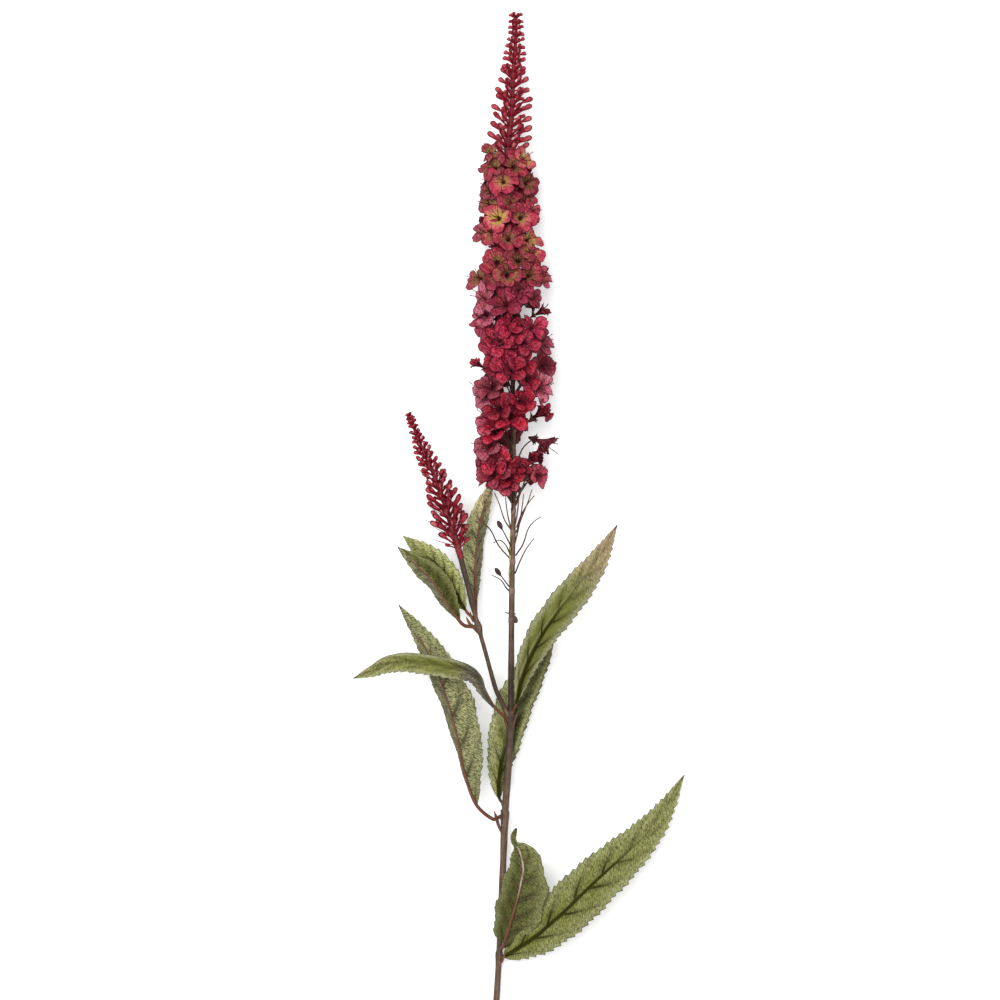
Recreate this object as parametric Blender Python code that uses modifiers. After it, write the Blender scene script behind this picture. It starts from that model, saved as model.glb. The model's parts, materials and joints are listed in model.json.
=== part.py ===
"""An artificial speedwell spray lying on a flat surface.

The spray runs along +Y, from its cut stem to the tip of its flower spike, and +Z points up from the
surface it lies on. Sizes are in millimetres in the tables below and become metres through MM.
Every piece stands a small GAP clear of the piece that carries it, as pushed or glued pieces do.
"""

import math
from typing import NamedTuple

import bmesh
import bpy
import numpy as np
from mathutils import Matrix, Vector

MM = 0.001
GAP = 0.3
UP = Vector((0, 0, 1))

# The empty that carries the spray puts the middle of its footprint at the world's origin.
SPRAY_ORIGIN = (-5.9, -409.5, 0.0)

# Centre lines, from the cut end or the fork outwards, each point as (x, y, z).
MAIN_STEM = (
    (-14, 0, 2.4), (-10.2, 64, 6), (-7.2, 132, 10), (-5.6, 176, 13), (-3, 212, 15.5),
    (-0.8, 254, 18.5), (0, 300, 21.5), (0, 348, 24.2), (1.2, 428, 27.2), (0.8, 508, 27),
    (-0.8, 564, 26), (-2, 623, 24), (-3.9, 694, 22),
)
MAIN_STEM_RADII = ((0, 2.4), (70, 2.5), (150, 2.8), (250, 2.8), (262, 2.5), (420, 1.9), (694, 1.5))
TIP_SPIKE = (
    (-3.9, 694.5, 22), (-3.6, 710, 21.7), (-0.3, 736, 21.2),
    (0.8, 767, 20.7), (3, 798, 20), (3.2, 815, 19.5),
)
SIDE_STEM = (
    (-5.9, 261.6, 21), (-9.3, 268.4, 22), (-13.6, 278.8, 23), (-20.8, 305, 25), (-27.2, 328, 27.3),
    (-30.6, 341, 28.5), (-34.4, 357, 30), (-38.6, 373, 31.3), (-41.6, 385, 32),
)
SIDE_STEM_RADII = ((0, 1.8), (75, 1.7), (84, 2.4), (134, 2.1))
SIDE_SPIKE = (
    (-41.8, 385.8, 32.1), (-45.6, 398.4, 33.5), (-52.8, 423, 36),
    (-62.7, 449.6, 37.6), (-74, 475, 37), (-81.6, 495, 35),
)

# The swellings where leaves fork off: height, length below it and radius.
MAIN_KNOTS = ((63, 5, 3.1), (177, 8, 3.5), (256, 9, 3.7))
SIDE_KNOT = (331, 6, 3.0)
KNOT_ABOVE = 2.0
SIDE_FORK_HEIGHT = 252
SIDE_FORK_RADII = (2.2, 1.9)

# The nub of a dropped leaf, on the right of the main stem.
NUB_HEIGHT = 319
NUB_REACH = Vector((5.2, 3.5, 0.5))
NUB_RADII = (2.0, 0.8)

SOCKET_DEPTH = 6.0
RING_LENGTH = 5.0
RING_WALL = 1.0
ROOT_SHARE = 1.2  # where a pedicel starts inside its ring, as a share of the stem's radius

# The lowest and the highest flower tier set the sizes of those between.
FLORET_RADIUS = (12.5, 9.8)
FLORET_DEPTH = (8.5, 7.5)
FLORET_RISE = 30.0
FLORET_TUBE_RADIUS = 1.7
THROAT_RADIUS = 1.2
LOBE_SHARE = 0.26  # how far the mouth's five lobes stand out, as a share of its radius
PEDICEL_RISE = 9.5
PEDICEL_RADII = (0.95, 0.8)

# How far each tier's florets stand out from the stem, by the tier's number counted from 0.
FLORET_STANDOFF = (
    (0, 18.5), (4, 20), (5, 24.5), (6, 21), (7, 20), (8, 22), (9, 23), (11, 17), (15, 12.5),
)

# Each tier's height on the stem, and the bearings of its florets: 0 points right, 90 up.
FLOWER_TIERS = (
    (435, (3, 104, 152, 300)),
    (451, (30, 66, 192, 330)),
    (467, (348, 168, 232, 285)),
    (485, (0, 90, 195, 262)),
    (507, (20, 160, 222, 312)),
    (523, (62, 108, 268, 350)),
    (545, (44, 132, 226, 312)),
    (559, (2, 182, 272)),
    (575, (12, 100, 148, 232, 318)),
    (596, (0, 92, 188, 272)),
    (610, (52, 142, 232, 320)),
    (628, (2, 92, 182, 272)),
    (642, (38, 128, 222, 312)),
    (656, (78, 170, 262, 348)),
    (671, (8, 98, 214, 300)),
    (685, (52, 140, 236, 322)),
)

# Below the flowers each tier carries thin stalks: bearing, reach, rise and the bud's length (0: none).
STALK_RADII = (0.7, 0.6, 0.5)
STALK_BUD_RADII = (0.7, 1.7)
STALK_TIERS = (
    (334, ((5, 4.5, 0.5, 0), (175, 5.5, 0.5, 0))),
    (356, ((176, 16, 15, 0), (165, 11.5, 14, 7), (20, 15, 33, 0), (292, 11, 26, 6))),
    (378, ((168, 26, 26, 3), (150, 13, 12, 0), (140, 7, 19, 8), (12, 10, 26, 5), (30, 21, 30, 0))),
    (403, ((155, 11, 27, 0), (215, 9, 23, 5), (8, 12, 30, 4), (40, 8, 26, 0))),
    (420, ((130, 6, 12, 0), (18, 11, 12, 0))),
)


class Leaf(NamedTuple):
    """A leaf on its petiole: half widths left and right of its rib, and its fold and roll in degrees
    at base, middle and tip. Petiole and widest place are shares of its length."""

    stem: str
    height: float
    spine: tuple
    widths: tuple
    fold: tuple
    roll: tuple
    rib_on_top: bool
    petiole: float = 0.08
    widest: float = 0.4


LEAVES = {
    "low_right": Leaf(
        "main", 59,
        (
            (2, 66, 9.5), (20, 79, 15), (43, 100, 20.5), (64, 121, 23),
            (83.5, 138.5, 21.5), (103.5, 156.5, 17), (121.5, 177.5, 9), (139, 206, -0.8),
        ),
        (20, 20.5), (8, 12, 10), (6, 4, 0), False, 0.03, 0.35,
    ),
    "low_curled": Leaf(
        "main", 62,
        (
            (-6.5, 72, 15), (-2, 88, 23.5), (3.5, 107, 29), (7.2, 124, 33),
            (8.8, 136, 35), (6, 149, 36.5), (1, 158, 35.5), (3.5, 167, 30),
        ),
        (17, 23), (22, 22, 20), (10, 15, 0), True, 0.05, 0.4,
    ),
    "mid_left": Leaf(
        "main", 172,
        (
            (-16, 172.5, 15.5), (-29, 185, 21), (-38, 210, 26), (-44, 240, 28.5),
            (-54, 275, 28.5), (-70, 311, 23), (-91, 344, 14),
        ),
        (17, 19.5), (36, 35, 25), (46, 34, 12), True, 0.12, 0.4,
    ),
    "mid_behind": Leaf(
        "main", 178,
        (
            (-10.2, 189, 7), (-10, 205, 5.5), (-6.4, 226, 5), (-1.6, 247, 5),
            (3.5, 269, 5.5), (13, 292, 5.5), (28, 311, 4.5),
        ),
        (16.5, 15), (20, 22, 20), (4, 4, 0), False, 0.03, 0.55,
    ),
    "high_left": Leaf(
        "main", 252,
        (
            (-9.5, 258.5, 26), (-14.5, 264, 31), (-20.6, 275, 36.5), (-26, 287, 40), (-36, 294, 42),
            (-55, 296.5, 41), (-75, 298.8, 37), (-94, 298.5, 29), (-112, 291, 15.5), (-127.4, 284.3, 0),
        ),
        (10.5, 10.5), (30, 42, 25), (70, 0, 0), False, 0.1, 0.45,
    ),
    "high_right": Leaf(
        "main", 256,
        ((3.5, 266, 26), (10, 291, 33), (23.5, 320, 37.5), (44, 349, 36.5), (66, 378, 31), (84, 408, 22)),
        (16, 16), (32, 26, 20), (0, 0, 0), False, 0.07, 0.39,
    ),
    "side_front": Leaf(
        "side", 326,
        (
            (-38.6, 328.5, 31.5), (-46, 337.5, 36), (-54, 349, 39),
            (-63, 363, 40), (-76, 376, 37), (-91, 390.5, 31),
        ),
        (12, 14), (45, 46, 25), (10, 18, 4), True, 0.14, 0.42,
    ),
    "side_back": Leaf(
        "side", 330,
        ((-37, 340, 26), (-46, 356, 25), (-58, 374, 23), (-72, 387, 19), (-87, 399, 13)),
        (12.5, 12.5), (22, 22, 15), (6, 6, 0), False, 0.1, 0.4,
    ),
    "side_right": Leaf(
        "side", 336,
        (
            (-29, 350, 19), (-29.5, 371, 18), (-28, 392, 17),
            (-25, 413, 15.5), (-19, 433, 12.5), (-14, 444, 9),
        ),
        (11, 9.5), (35, 42, 25), (-12, -18, 0), True, 0.08, 0.48,
    ),
}
BLADE_THICKNESS = 0.7
BLADE_ROWS = 12
BLADE_TIP_WIDTH = 0.5
BLADE_BASE_WIDTH = 0.9
RIB_RADII = (1.15, 0.55)
RIB_END = 0.86
STUB_REACH = 3.0
STUB_RADIUS = 1.7

# The spikes' buds: rows this far apart, four to a row, each row turned from the last. Core radii and
# bud lengths go by the share of the spike's length.
BUD_ROW_PITCH = 8.2
BUD_LEAN = 46.0
BUD_RADII = (0.8, 1.7)
TIP_SPIKE_CORE = ((0, 2.9), (0.5, 2.2), (1, 1.0))
TIP_SPIKE_BUDS = ((0, 21), (0.3, 17), (0.7, 11), (1, 6))
SIDE_SPIKE_CORE = ((0, 3.6), (0.12, 3.0), (0.5, 2.2), (1, 1.0))
SIDE_SPIKE_BUDS = ((0, 18), (0.4, 17), (0.7, 11), (1, 6))


def smooth_line(points, count):
    """Points evenly spaced along a smooth curve through the given ones."""
    given = [Vector(p) for p in points]
    knots = [2 * given[0] - given[1], *given, 2 * given[-1] - given[-2]]
    dense = []
    for a, b, c, d in zip(knots, knots[1:], knots[2:], knots[3:]):
        for t in np.linspace(0, 1, 16, endpoint=False):
            square = 2 * a - 5 * b + 4 * c - d
            cube = 3 * b - a - 3 * c + d
            dense.append(0.5 * (2 * b + (c - a) * t + square * t**2 + cube * t**3))
    dense = np.array([*dense, given[-1]])
    run = np.concatenate([[0], np.cumsum(np.linalg.norm(np.diff(dense, axis=0), axis=1))])
    even = np.linspace(0, run[-1], count)
    spread = [np.interp(even, run, dense[:, axis]) for axis in range(3)]
    return [Vector(p) for p in np.column_stack(spread)]


def tangents(line):
    steps = [b - a for a, b in zip(line, line[1:])]
    return [(a + b).normalized() for a, b in zip([steps[0], *steps], [*steps, steps[-1]])]


def side_and_up(tangent):
    """The level direction to the right of a tangent, and the one square to both that points up."""
    right = tangent.cross(UP).normalized()
    return right, right.cross(tangent)


def stem_line(stem):
    return smooth_line(MAIN_STEM if stem == "main" else SIDE_STEM, 120)


def place_on(stem, height):
    """The point of a stem's centre line at this height, and the direction it runs in there."""
    line = stem_line(stem)
    index = min(range(len(line)), key=lambda i: abs(line[i].y - height))
    return line[index], tangents(line)[index]


def stepwise(pairs, at):
    return float(np.interp(at, *zip(*pairs)))


def base_mid_tip(values, at):
    return float(np.interp(at, (0, 0.5, 1), values))


# Shapes, each a closed bmesh in millimetres.


def cone(start, end, start_radius, end_radius, sides):
    """A straight tapered piece between two points."""
    shell = bmesh.new()
    axis = end - start
    turn = UP.rotation_difference(axis).to_matrix().to_4x4()
    bmesh.ops.create_cone(
        shell, cap_ends=True, cap_tris=False, segments=sides, radius1=start_radius, radius2=end_radius,
        depth=axis.length, matrix=Matrix.Translation((start + end) / 2) @ turn,
    )
    return shell


def bent_tube(line, radii, resolution):
    """A curve's tube with filled caps, as a closed bmesh."""
    curve = tube_curve("tube", line, radii, resolution, 1.0)
    holder = bpy.data.objects.new("tube", curve)
    bpy.context.scene.collection.objects.link(holder)
    graph = bpy.context.evaluated_depsgraph_get()
    mesh = bpy.data.meshes.new_from_object(holder.evaluated_get(graph))
    shell = bmesh.new()
    shell.from_mesh(mesh)
    bmesh.ops.remove_doubles(shell, verts=shell.verts, dist=0.0001)
    bpy.data.objects.remove(holder)
    bpy.data.curves.remove(curve)
    bpy.data.meshes.remove(mesh)
    return shell


def tube_curve(name, line, radii, resolution, unit):
    """A poly curve whose points carry their own radius."""
    curve = bpy.data.curves.new(name, "CURVE")
    curve.dimensions = "3D"
    curve.bevel_depth = unit
    curve.bevel_resolution = resolution
    curve.use_fill_caps = True
    spline = curve.splines.new("POLY")
    spline.points.add(len(line) - 1)
    for point, place, radius in zip(spline.points, line, radii):
        point.co = (*(place * unit), 1)
        point.radius = radius
    return curve


def floret(base, axis, radius, depth):
    """A five-lobed cup on a solid tube, its mouth facing along the axis."""
    shell = bmesh.new()
    turn = UP.rotation_difference(axis).to_matrix().to_4x4()
    bmesh.ops.create_cone(
        shell, cap_ends=True, cap_tris=False, segments=10, radius1=FLORET_TUBE_RADIUS, radius2=radius,
        depth=depth, matrix=Matrix.Translation((0, 0, depth / 2)),
    )
    mouth = next(face for face in shell.faces if face.normal.z > 0.9)
    for rim in mouth.verts:
        lobe = 0.5 + 0.5 * math.cos(5 * math.atan2(rim.co.y, rim.co.x))
        rim.co.xy *= 1 - LOBE_SHARE * (1 - lobe)
        rim.co.z -= 0.18 * depth * lobe
    bmesh.ops.inset_individual(shell, faces=[mouth], thickness=0.4)
    for throat in mouth.verts:
        throat.co.xy = throat.co.xy.normalized() * THROAT_RADIUS
        throat.co.z = 0.42 * depth
    shell.transform(Matrix.Translation(base) @ turn)
    return shell


def lowest(shell):
    return min(vertex.co.z for vertex in shell.verts)


def ring(centre, tangent, stem_radius):
    half = tangent * RING_LENGTH / 2
    outer = stem_radius + GAP + RING_WALL
    return cone(centre - half, centre + half, outer, outer * 0.9, 8)


def ring_hole(centre, tangent, stem_radius):
    bore = stem_radius + 1.6 * GAP
    return cone(centre - tangent * RING_LENGTH, centre + tangent * RING_LENGTH, bore, bore, 8)


# Objects, in metres under the spray's empty.


def shell_object(shell, collection):
    mesh = bpy.data.meshes.new("shell")
    shell.to_mesh(mesh)
    shell.free()
    holder = bpy.data.objects.new("shell", mesh)
    collection.objects.link(holder)
    return holder


def joined(shells, cutter=None):
    """One mesh from shells that overlap, less the cutter."""
    scene = bpy.context.scene.collection
    others = bpy.data.collections.new("others")
    scene.children.link(others)
    body = shell_object(shells[0], scene)
    for shell in shells[1:]:
        shell_object(shell, others)
    join = body.modifiers.new("join", "BOOLEAN")
    join.operation = "UNION"
    join.operand_type = "COLLECTION"
    join.collection = others
    holders = [body, *others.objects]
    if cutter:
        bore = shell_object(cutter, scene)
        cut = body.modifiers.new("cut", "BOOLEAN")
        cut.object = bore
        holders.append(bore)
    graph = bpy.context.evaluated_depsgraph_get()
    mesh = bpy.data.meshes.new_from_object(body.evaluated_get(graph))
    old = [holder.data for holder in holders]
    for holder in holders:
        bpy.data.objects.remove(holder)
    for data in old:
        bpy.data.meshes.remove(data)
    bpy.data.collections.remove(others)
    return mesh


def material(name, colour, roughness):
    made = bpy.data.materials.get(name)
    if made:
        return made
    made = bpy.data.materials.new(name)
    made.use_nodes = True
    shader = made.node_tree.nodes["Principled BSDF"]
    shader.inputs["Base Color"].default_value = (*colour, 1)
    shader.inputs["Roughness"].default_value = roughness
    shader.inputs["Metallic"].default_value = 0
    made.diffuse_color = (*colour, 1)
    return made


def add_piece(name, data, origin, finish):
    """Places a piece by its own origin, under the spray's empty; its mesh is scaled to metres."""
    piece = bpy.data.objects.new(name, data)
    if isinstance(data, bpy.types.Mesh):
        data.transform(Matrix.Scale(MM, 4) @ Matrix.Translation(-origin))
        data.shade_smooth()
        data.set_sharp_from_angle(angle=math.radians(40))
    else:
        data.transform(Matrix.Translation(-origin * MM))
    data.materials.append(material(*finish))
    piece.location = origin * MM
    piece.parent = bpy.data.objects["spray"]
    bpy.data.collections["speedwell_spray"].objects.link(piece)
    return piece


STEM_BROWN = ("stem_plastic", (0.145, 0.075, 0.055), 0.5)
RIB_BROWN = ("rib_plastic", (0.27, 0.09, 0.045), 0.45)
LEAF_GREEN = ("leaf_fabric", (0.17, 0.2, 0.055), 0.75)
FLORET_RED = ("floret_fabric", (0.36, 0.02, 0.055), 0.5)
BUD_RED = ("bud_plastic", (0.3, 0.018, 0.045), 0.5)
STALK_BROWN = ("stalk_plastic", (0.2, 0.06, 0.05), 0.5)


def stub(leaf):
    """Where a leaf's petiole starts, and the boss on the stem that it meets."""
    centre, _ = place_on(leaf.stem, leaf.height)
    away = (Vector(leaf.spine[0]) - centre).normalized()
    radius = stepwise(MAIN_STEM_RADII, centre.y) if leaf.stem == "main" else 2.0
    start = centre + away * (radius + STUB_REACH)
    boss = cone(centre, start - away * GAP, STUB_RADIUS, RIB_RADII[0], 6)
    return start, boss


def knot(stem, height, below, radius):
    centre, tangent = place_on(stem, height)
    return cone(centre - tangent * below, centre + tangent * KNOT_ABOVE, radius * 0.8, radius, 8)


def make_main_stem():
    """The stem with a thickened knot and a boss at each fork, and a boss for the side stem."""
    line = smooth_line(MAIN_STEM, 34)
    shells = [bent_tube(line, [stepwise(MAIN_STEM_RADII, p.y) for p in line], 2)]
    shells += [knot("main", *size) for size in MAIN_KNOTS]
    shells += [stub(leaf)[1] for leaf in LEAVES.values() if leaf.stem == "main"]
    fork, _ = place_on("main", SIDE_FORK_HEIGHT)
    start = Vector(SIDE_STEM[0])
    away = (Vector(SIDE_STEM[1]) - start).normalized()
    shells.append(cone(fork, start - away * 2 * GAP, *SIDE_FORK_RADII, 8))
    nub, _ = place_on("main", NUB_HEIGHT)
    shells.append(cone(nub, nub + NUB_REACH, *NUB_RADII, 6))
    add_piece("main_stem", joined(shells), Vector(MAIN_STEM[0]), STEM_BROWN)


def make_side_stem():
    line = smooth_line(SIDE_STEM, 16)
    start = line[0].y
    shells = [bent_tube(line, [stepwise(SIDE_STEM_RADII, p.y - start) for p in line], 2)]
    shells.append(knot("side", *SIDE_KNOT))
    shells += [stub(leaf)[1] for leaf in LEAVES.values() if leaf.stem == "side"]
    add_piece("side_stem", joined(shells), Vector(SIDE_STEM[0]), STEM_BROWN)


def fullness(widest, at):
    """The blade's half width as a share of its greatest, from its base (0) to its tip (1)."""
    if at < widest:
        return math.sin(0.5 * math.pi * at / widest) ** 0.7
    return math.cos(0.5 * math.pi * (at - widest) / (1 - widest)) ** 0.95


def half_widths(leaf, at):
    end = BLADE_BASE_WIDTH + (BLADE_TIP_WIDTH - BLADE_BASE_WIDTH) * at
    share = fullness(leaf.widest, at)
    return [max(end, width * share) for width in leaf.widths]


def leaf_frames(leaf, start, count):
    """For points along the whole spine: the point, the blade's rightward side and its face direction."""
    line = smooth_line((start, *leaf.spine), count)
    frames = []
    for index, (point, tangent) in enumerate(zip(line, tangents(line))):
        right, up = side_and_up(tangent)
        roll = math.radians(base_mid_tip(leaf.roll, index / (count - 1)))
        side = right * math.cos(roll) + up * math.sin(roll)
        face = up * math.cos(roll) - right * math.sin(roll)
        frames.append((point, side, -face if leaf.rib_on_top else face))
    return frames


def make_leaf(name, leaf):
    """The fabric blade, and the moulded rib glued along its back and running down into the petiole."""
    start, _ = stub(leaf)
    count = 60
    frames = leaf_frames(leaf, start, count)
    first = round(leaf.petiole * count)
    blade = bmesh.new()
    rows = []
    for index in np.linspace(first, count - 1, BLADE_ROWS).round().astype(int).tolist():
        point, side, face = frames[index]
        at = (index - first) / (count - 1 - first)
        left, right = half_widths(leaf, at)
        fold = math.radians(base_mid_tip(leaf.fold, at))
        seat = point + face * (rib_radius(index / (count - 1)) + GAP + BLADE_THICKNESS / 2)
        across = [
            seat + abs(u) * (side * math.copysign(math.cos(fold), u) + face * math.sin(fold))
            for u in (-left, -0.5 * left, 0, 0.5 * right, right)
        ]
        rows.append([blade.verts.new(p) for p in across])
    for low, high in zip(rows, rows[1:]):
        for a, b, c, d in zip(low, low[1:], high[1:], high):
            blade.faces.new((a, b, c, d))
    mesh = bpy.data.meshes.new(name)
    blade.to_mesh(mesh)
    blade.free()
    piece = add_piece("leaf_" + name, mesh, start, LEAF_GREEN)
    sheet = piece.modifiers.new("thickness", "SOLIDIFY")
    sheet.thickness = BLADE_THICKNESS * MM
    sheet.offset = 0

    last = round(RIB_END * count)
    line = [point for point, _, _ in frames[:last:3]]
    radii = [rib_radius(index / (count - 1)) for index in range(0, last, 3)]
    add_piece("rib_" + name, tube_curve("rib_" + name, line, radii, 1, MM), start, RIB_BROWN)


def rib_radius(at):
    return RIB_RADII[0] + (RIB_RADII[1] - RIB_RADII[0]) * min(at / 0.5, 1)


def flower_size(index, ends):
    return ends[0] + (ends[1] - ends[0]) * index / (len(FLOWER_TIERS) - 1)


def make_flower_tier(index, height, bearings):
    """A ring round the stem with its pedicels and florets; the surface presses up those below."""
    centre, tangent = place_on("main", height)
    right, up = side_and_up(tangent)
    stem_radius = stepwise(MAIN_STEM_RADII, height)
    radius = flower_size(index, FLORET_RADIUS)
    depth = flower_size(index, FLORET_DEPTH)
    shells = [ring(centre, tangent, stem_radius)]
    for count, bearing in enumerate(bearings):
        turn = math.radians(bearing)
        outward = right * math.cos(turn) + up * math.sin(turn)
        rise = math.radians(FLORET_RISE + 5 * math.sin(2.4 * (index + 3 * count)))
        axis = outward * math.cos(rise) + tangent * math.sin(rise)
        size = radius * (1 + 0.06 * math.sin(1.7 * index + 2.9 * count))
        standoff = stepwise(FLORET_STANDOFF, index)
        base = centre + outward * standoff + tangent * PEDICEL_RISE
        sunk = min(lowest(floret(base, axis, size, depth)), 0)
        if sunk < 0:
            base -= outward * (sunk / outward.z)
        shells.append(floret(base, axis, size, depth))
        root = centre + outward * stem_radius * ROOT_SHARE
        shells.append(cone(root, base + axis * FLORET_TUBE_RADIUS, *PEDICEL_RADII, 4))
    mesh = joined(shells, ring_hole(centre, tangent, stem_radius))
    add_piece(f"flower_tier_{index + 1:02d}", mesh, centre, FLORET_RED)


def make_stalk_tier(index, height, stalks):
    """A ring with thin stalks whose florets have dropped, some ending in a bud or an empty cup."""
    centre, tangent = place_on("main", height)
    right, up = side_and_up(tangent)
    stem_radius = stepwise(MAIN_STEM_RADII, height)
    shells = [ring(centre, tangent, stem_radius)]
    for bearing, reach, rise, bud in stalks:
        turn = math.radians(bearing)
        outward = right * math.cos(turn) + up * math.sin(turn)
        root = centre + outward * stem_radius * ROOT_SHARE
        bend = centre + outward * (stem_radius + 0.45 * reach) + tangent * rise * 0.35
        end = centre + outward * (stem_radius + reach) + tangent * rise
        onward = (end - bend).normalized()
        shells.append(cone(root, bend, *STALK_RADII[:2], 4))
        shells.append(cone(bend - onward * STALK_RADII[2], end, *STALK_RADII[1:], 4))
        if bud:
            shells.append(cone(end - onward, end + onward * bud, *STALK_BUD_RADII, 5))
    mesh = joined(shells, ring_hole(centre, tangent, stem_radius))
    add_piece(f"stalk_tier_{index + 1}", mesh, centre, STALK_BROWN)


def make_spike(name, points, core_radii, bud_lengths):
    """A moulded spike: a tapering core with rows of club-shaped buds, and a socket for the stem's end."""
    line = smooth_line(points, 60)
    directions = tangents(line)
    length = sum((b - a).length for a, b in zip(line, line[1:]))
    radii = [stepwise(core_radii, i / 59) for i in range(60)]
    shells = [bent_tube(line[::5] + line[-1:], radii[::5] + radii[-1:], 2)]
    rows = int((length - 2 * SOCKET_DEPTH) / BUD_ROW_PITCH)
    for row in range(rows):
        share = (2 * SOCKET_DEPTH + row * BUD_ROW_PITCH) / length
        index = round(share * 59)
        centre, tangent = line[index], directions[index]
        right, up = side_and_up(tangent)
        reach = stepwise(bud_lengths, share)
        for quarter in range(4):
            turn = math.radians(90 * quarter + (45 if row % 2 else 0))
            outward = right * math.cos(turn) + up * math.sin(turn)
            lean = math.radians(BUD_LEAN)
            direction = outward * math.sin(lean) + tangent * math.cos(lean)
            foot = centre + outward * radii[index] * 0.4
            shells.append(cone(foot, foot + direction * reach, *BUD_RADII, 5))
    entry = directions[0]
    hole = cone(line[0] - entry, line[0] + entry * SOCKET_DEPTH, radii[0] * 0.62, radii[0] * 0.62, 8)
    add_piece(name, joined(shells, hole), line[0], BUD_RED)


def clear_scene():
    for old in list(bpy.data.objects):
        bpy.data.objects.remove(old)


def make_spray():
    spray = bpy.data.objects.new("spray", None)
    spray.location = Vector(SPRAY_ORIGIN) * MM
    pieces = bpy.data.collections.new("speedwell_spray")
    bpy.context.scene.collection.children.link(pieces)
    pieces.objects.link(spray)

    make_main_stem()
    make_side_stem()
    for name, leaf in LEAVES.items():
        make_leaf(name, leaf)
    for index, (height, stalks) in enumerate(STALK_TIERS):
        make_stalk_tier(index, height, stalks)
    for index, (height, bearings) in enumerate(FLOWER_TIERS):
        make_flower_tier(index, height, bearings)
    make_spike("tip_spike", TIP_SPIKE, TIP_SPIKE_CORE, TIP_SPIKE_BUDS)
    make_spike("side_spike", SIDE_SPIKE, SIDE_SPIKE_CORE, SIDE_SPIKE_BUDS)


clear_scene()
make_spray()
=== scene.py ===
"""Dresses an artificial speedwell spray: woven serrated leaves, crinkled florets, budded spikes and
moulded stems, lying on a pale floor and seen from straight above.

Places are in the spray's own millimetres, along +Y from the cut end of the stem to the tip of the
flower spike, and become metres in the part's frame through in_frame.
"""

import json
import math
from typing import NamedTuple

import bmesh
import bpy
import numpy as np
from mathutils import Matrix, Quaternion, Vector

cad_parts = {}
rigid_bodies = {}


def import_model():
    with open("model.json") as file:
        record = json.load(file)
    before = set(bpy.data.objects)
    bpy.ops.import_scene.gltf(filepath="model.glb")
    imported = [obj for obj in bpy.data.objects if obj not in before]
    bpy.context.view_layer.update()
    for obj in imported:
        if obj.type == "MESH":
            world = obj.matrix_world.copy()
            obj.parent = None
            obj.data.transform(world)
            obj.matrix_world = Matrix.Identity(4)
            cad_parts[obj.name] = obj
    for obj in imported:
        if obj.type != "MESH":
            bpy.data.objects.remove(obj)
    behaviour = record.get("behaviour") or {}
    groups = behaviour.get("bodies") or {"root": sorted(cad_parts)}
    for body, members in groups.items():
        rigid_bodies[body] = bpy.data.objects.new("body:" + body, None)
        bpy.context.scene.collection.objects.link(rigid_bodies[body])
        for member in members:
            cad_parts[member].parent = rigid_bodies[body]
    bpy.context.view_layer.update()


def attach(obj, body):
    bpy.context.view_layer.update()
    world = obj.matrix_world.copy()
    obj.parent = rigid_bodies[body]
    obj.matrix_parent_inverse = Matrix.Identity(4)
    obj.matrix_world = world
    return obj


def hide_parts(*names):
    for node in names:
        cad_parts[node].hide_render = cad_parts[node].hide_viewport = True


bl_info = {
    "name": "Speedwell spray",
    "version": (1, 0, 0),
    "blender": (4, 5, 0),
    "location": "3D View > Sidebar > Speedwell",
    "description": "Builds the leaves, florets, spikes and stems of an artificial speedwell spray",
    "category": "Object",
}

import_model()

MM = 0.001
UP = Vector((0, 0, 1))
SPRAY_ORIGIN = Vector((-5.9, -409.5, 0.0))
# Whatever would sink below the surface bends from the first height towards the second.
BEND_HEIGHT = 1.6
LOWEST_HEIGHT = 0.35

# Centre lines, from the cut end or the fork outwards, each point as (x, y, z).
MAIN_STEM = (
    (-14, 0, 2.4), (-10.2, 64, 6), (-7.2, 132, 10), (-5.6, 176, 13), (-3, 212, 15.5),
    (-1, 254, 18.5), (-0.6, 300, 21.5), (-0.2, 348, 24.2), (1.2, 428, 27.2), (0.8, 508, 27),
    (-0.8, 564, 26), (-2, 623, 24), (-3.9, 694, 22),
)
MAIN_STEM_RADII = (
    (0, 2.4), (70, 2.5), (150, 2.8), (250, 2.8), (262, 2.6), (340, 2.4), (420, 1.95), (694, 1.5),
)
TIP_SPIKE = (
    (-3.9, 694.5, 22), (-3.6, 710, 21.7), (-0.3, 736, 21.2),
    (0.8, 767, 20.7), (3, 798, 20), (3.2, 816.2, 19.5),
)
SIDE_STEM = (
    (-5.9, 261.6, 21), (-9.3, 268.4, 22), (-13.6, 278.8, 23), (-20.8, 305, 25), (-27.2, 328, 27.3),
    (-30.6, 341, 28.5), (-34.4, 357, 30), (-38.6, 373, 31.3), (-41.6, 385, 32),
)
SIDE_STEM_RADII = ((0, 1.8), (75, 1.7), (84, 2.4), (134, 2.1))
SIDE_SPIKE = (
    (-41.8, 385.8, 32.1), (-45.6, 398.4, 33.5), (-52.8, 423, 36),
    (-62.7, 449.6, 37.6), (-74, 475, 37), (-81.6, 495, 35),
)

# Points along a stem where pieces may leave it, and along each stem's own tube.
STEM_PLACES = 120
MAIN_STEM_POINTS = 360
SIDE_STEM_POINTS = 90
# The stems' unevenness is a random swing at every so many points.
WEAR_PITCH = 8
WEAR_SWING = 0.035

# The swellings where leaves fork off: height, length below it and radius.
MAIN_KNOTS = ((63, 5, 3.1), (177, 8, 3.5), (256, 9, 3.7))
SIDE_KNOT = (331, 6, 3.0)
SIDE_FORK_HEIGHT = 252
SIDE_FORK_RADII = (2.2, 2.1, 1.9)
# The nub of a dropped leaf.
NUB_HEIGHT = 336
NUB_REACH = Vector((4.1, -8.0, 0.5))
NUB_SHARES = (0.3, 0.6, 0.85, 1)
NUB_RADII = (1.5, 2.2, 1.9, 0.6)

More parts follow.
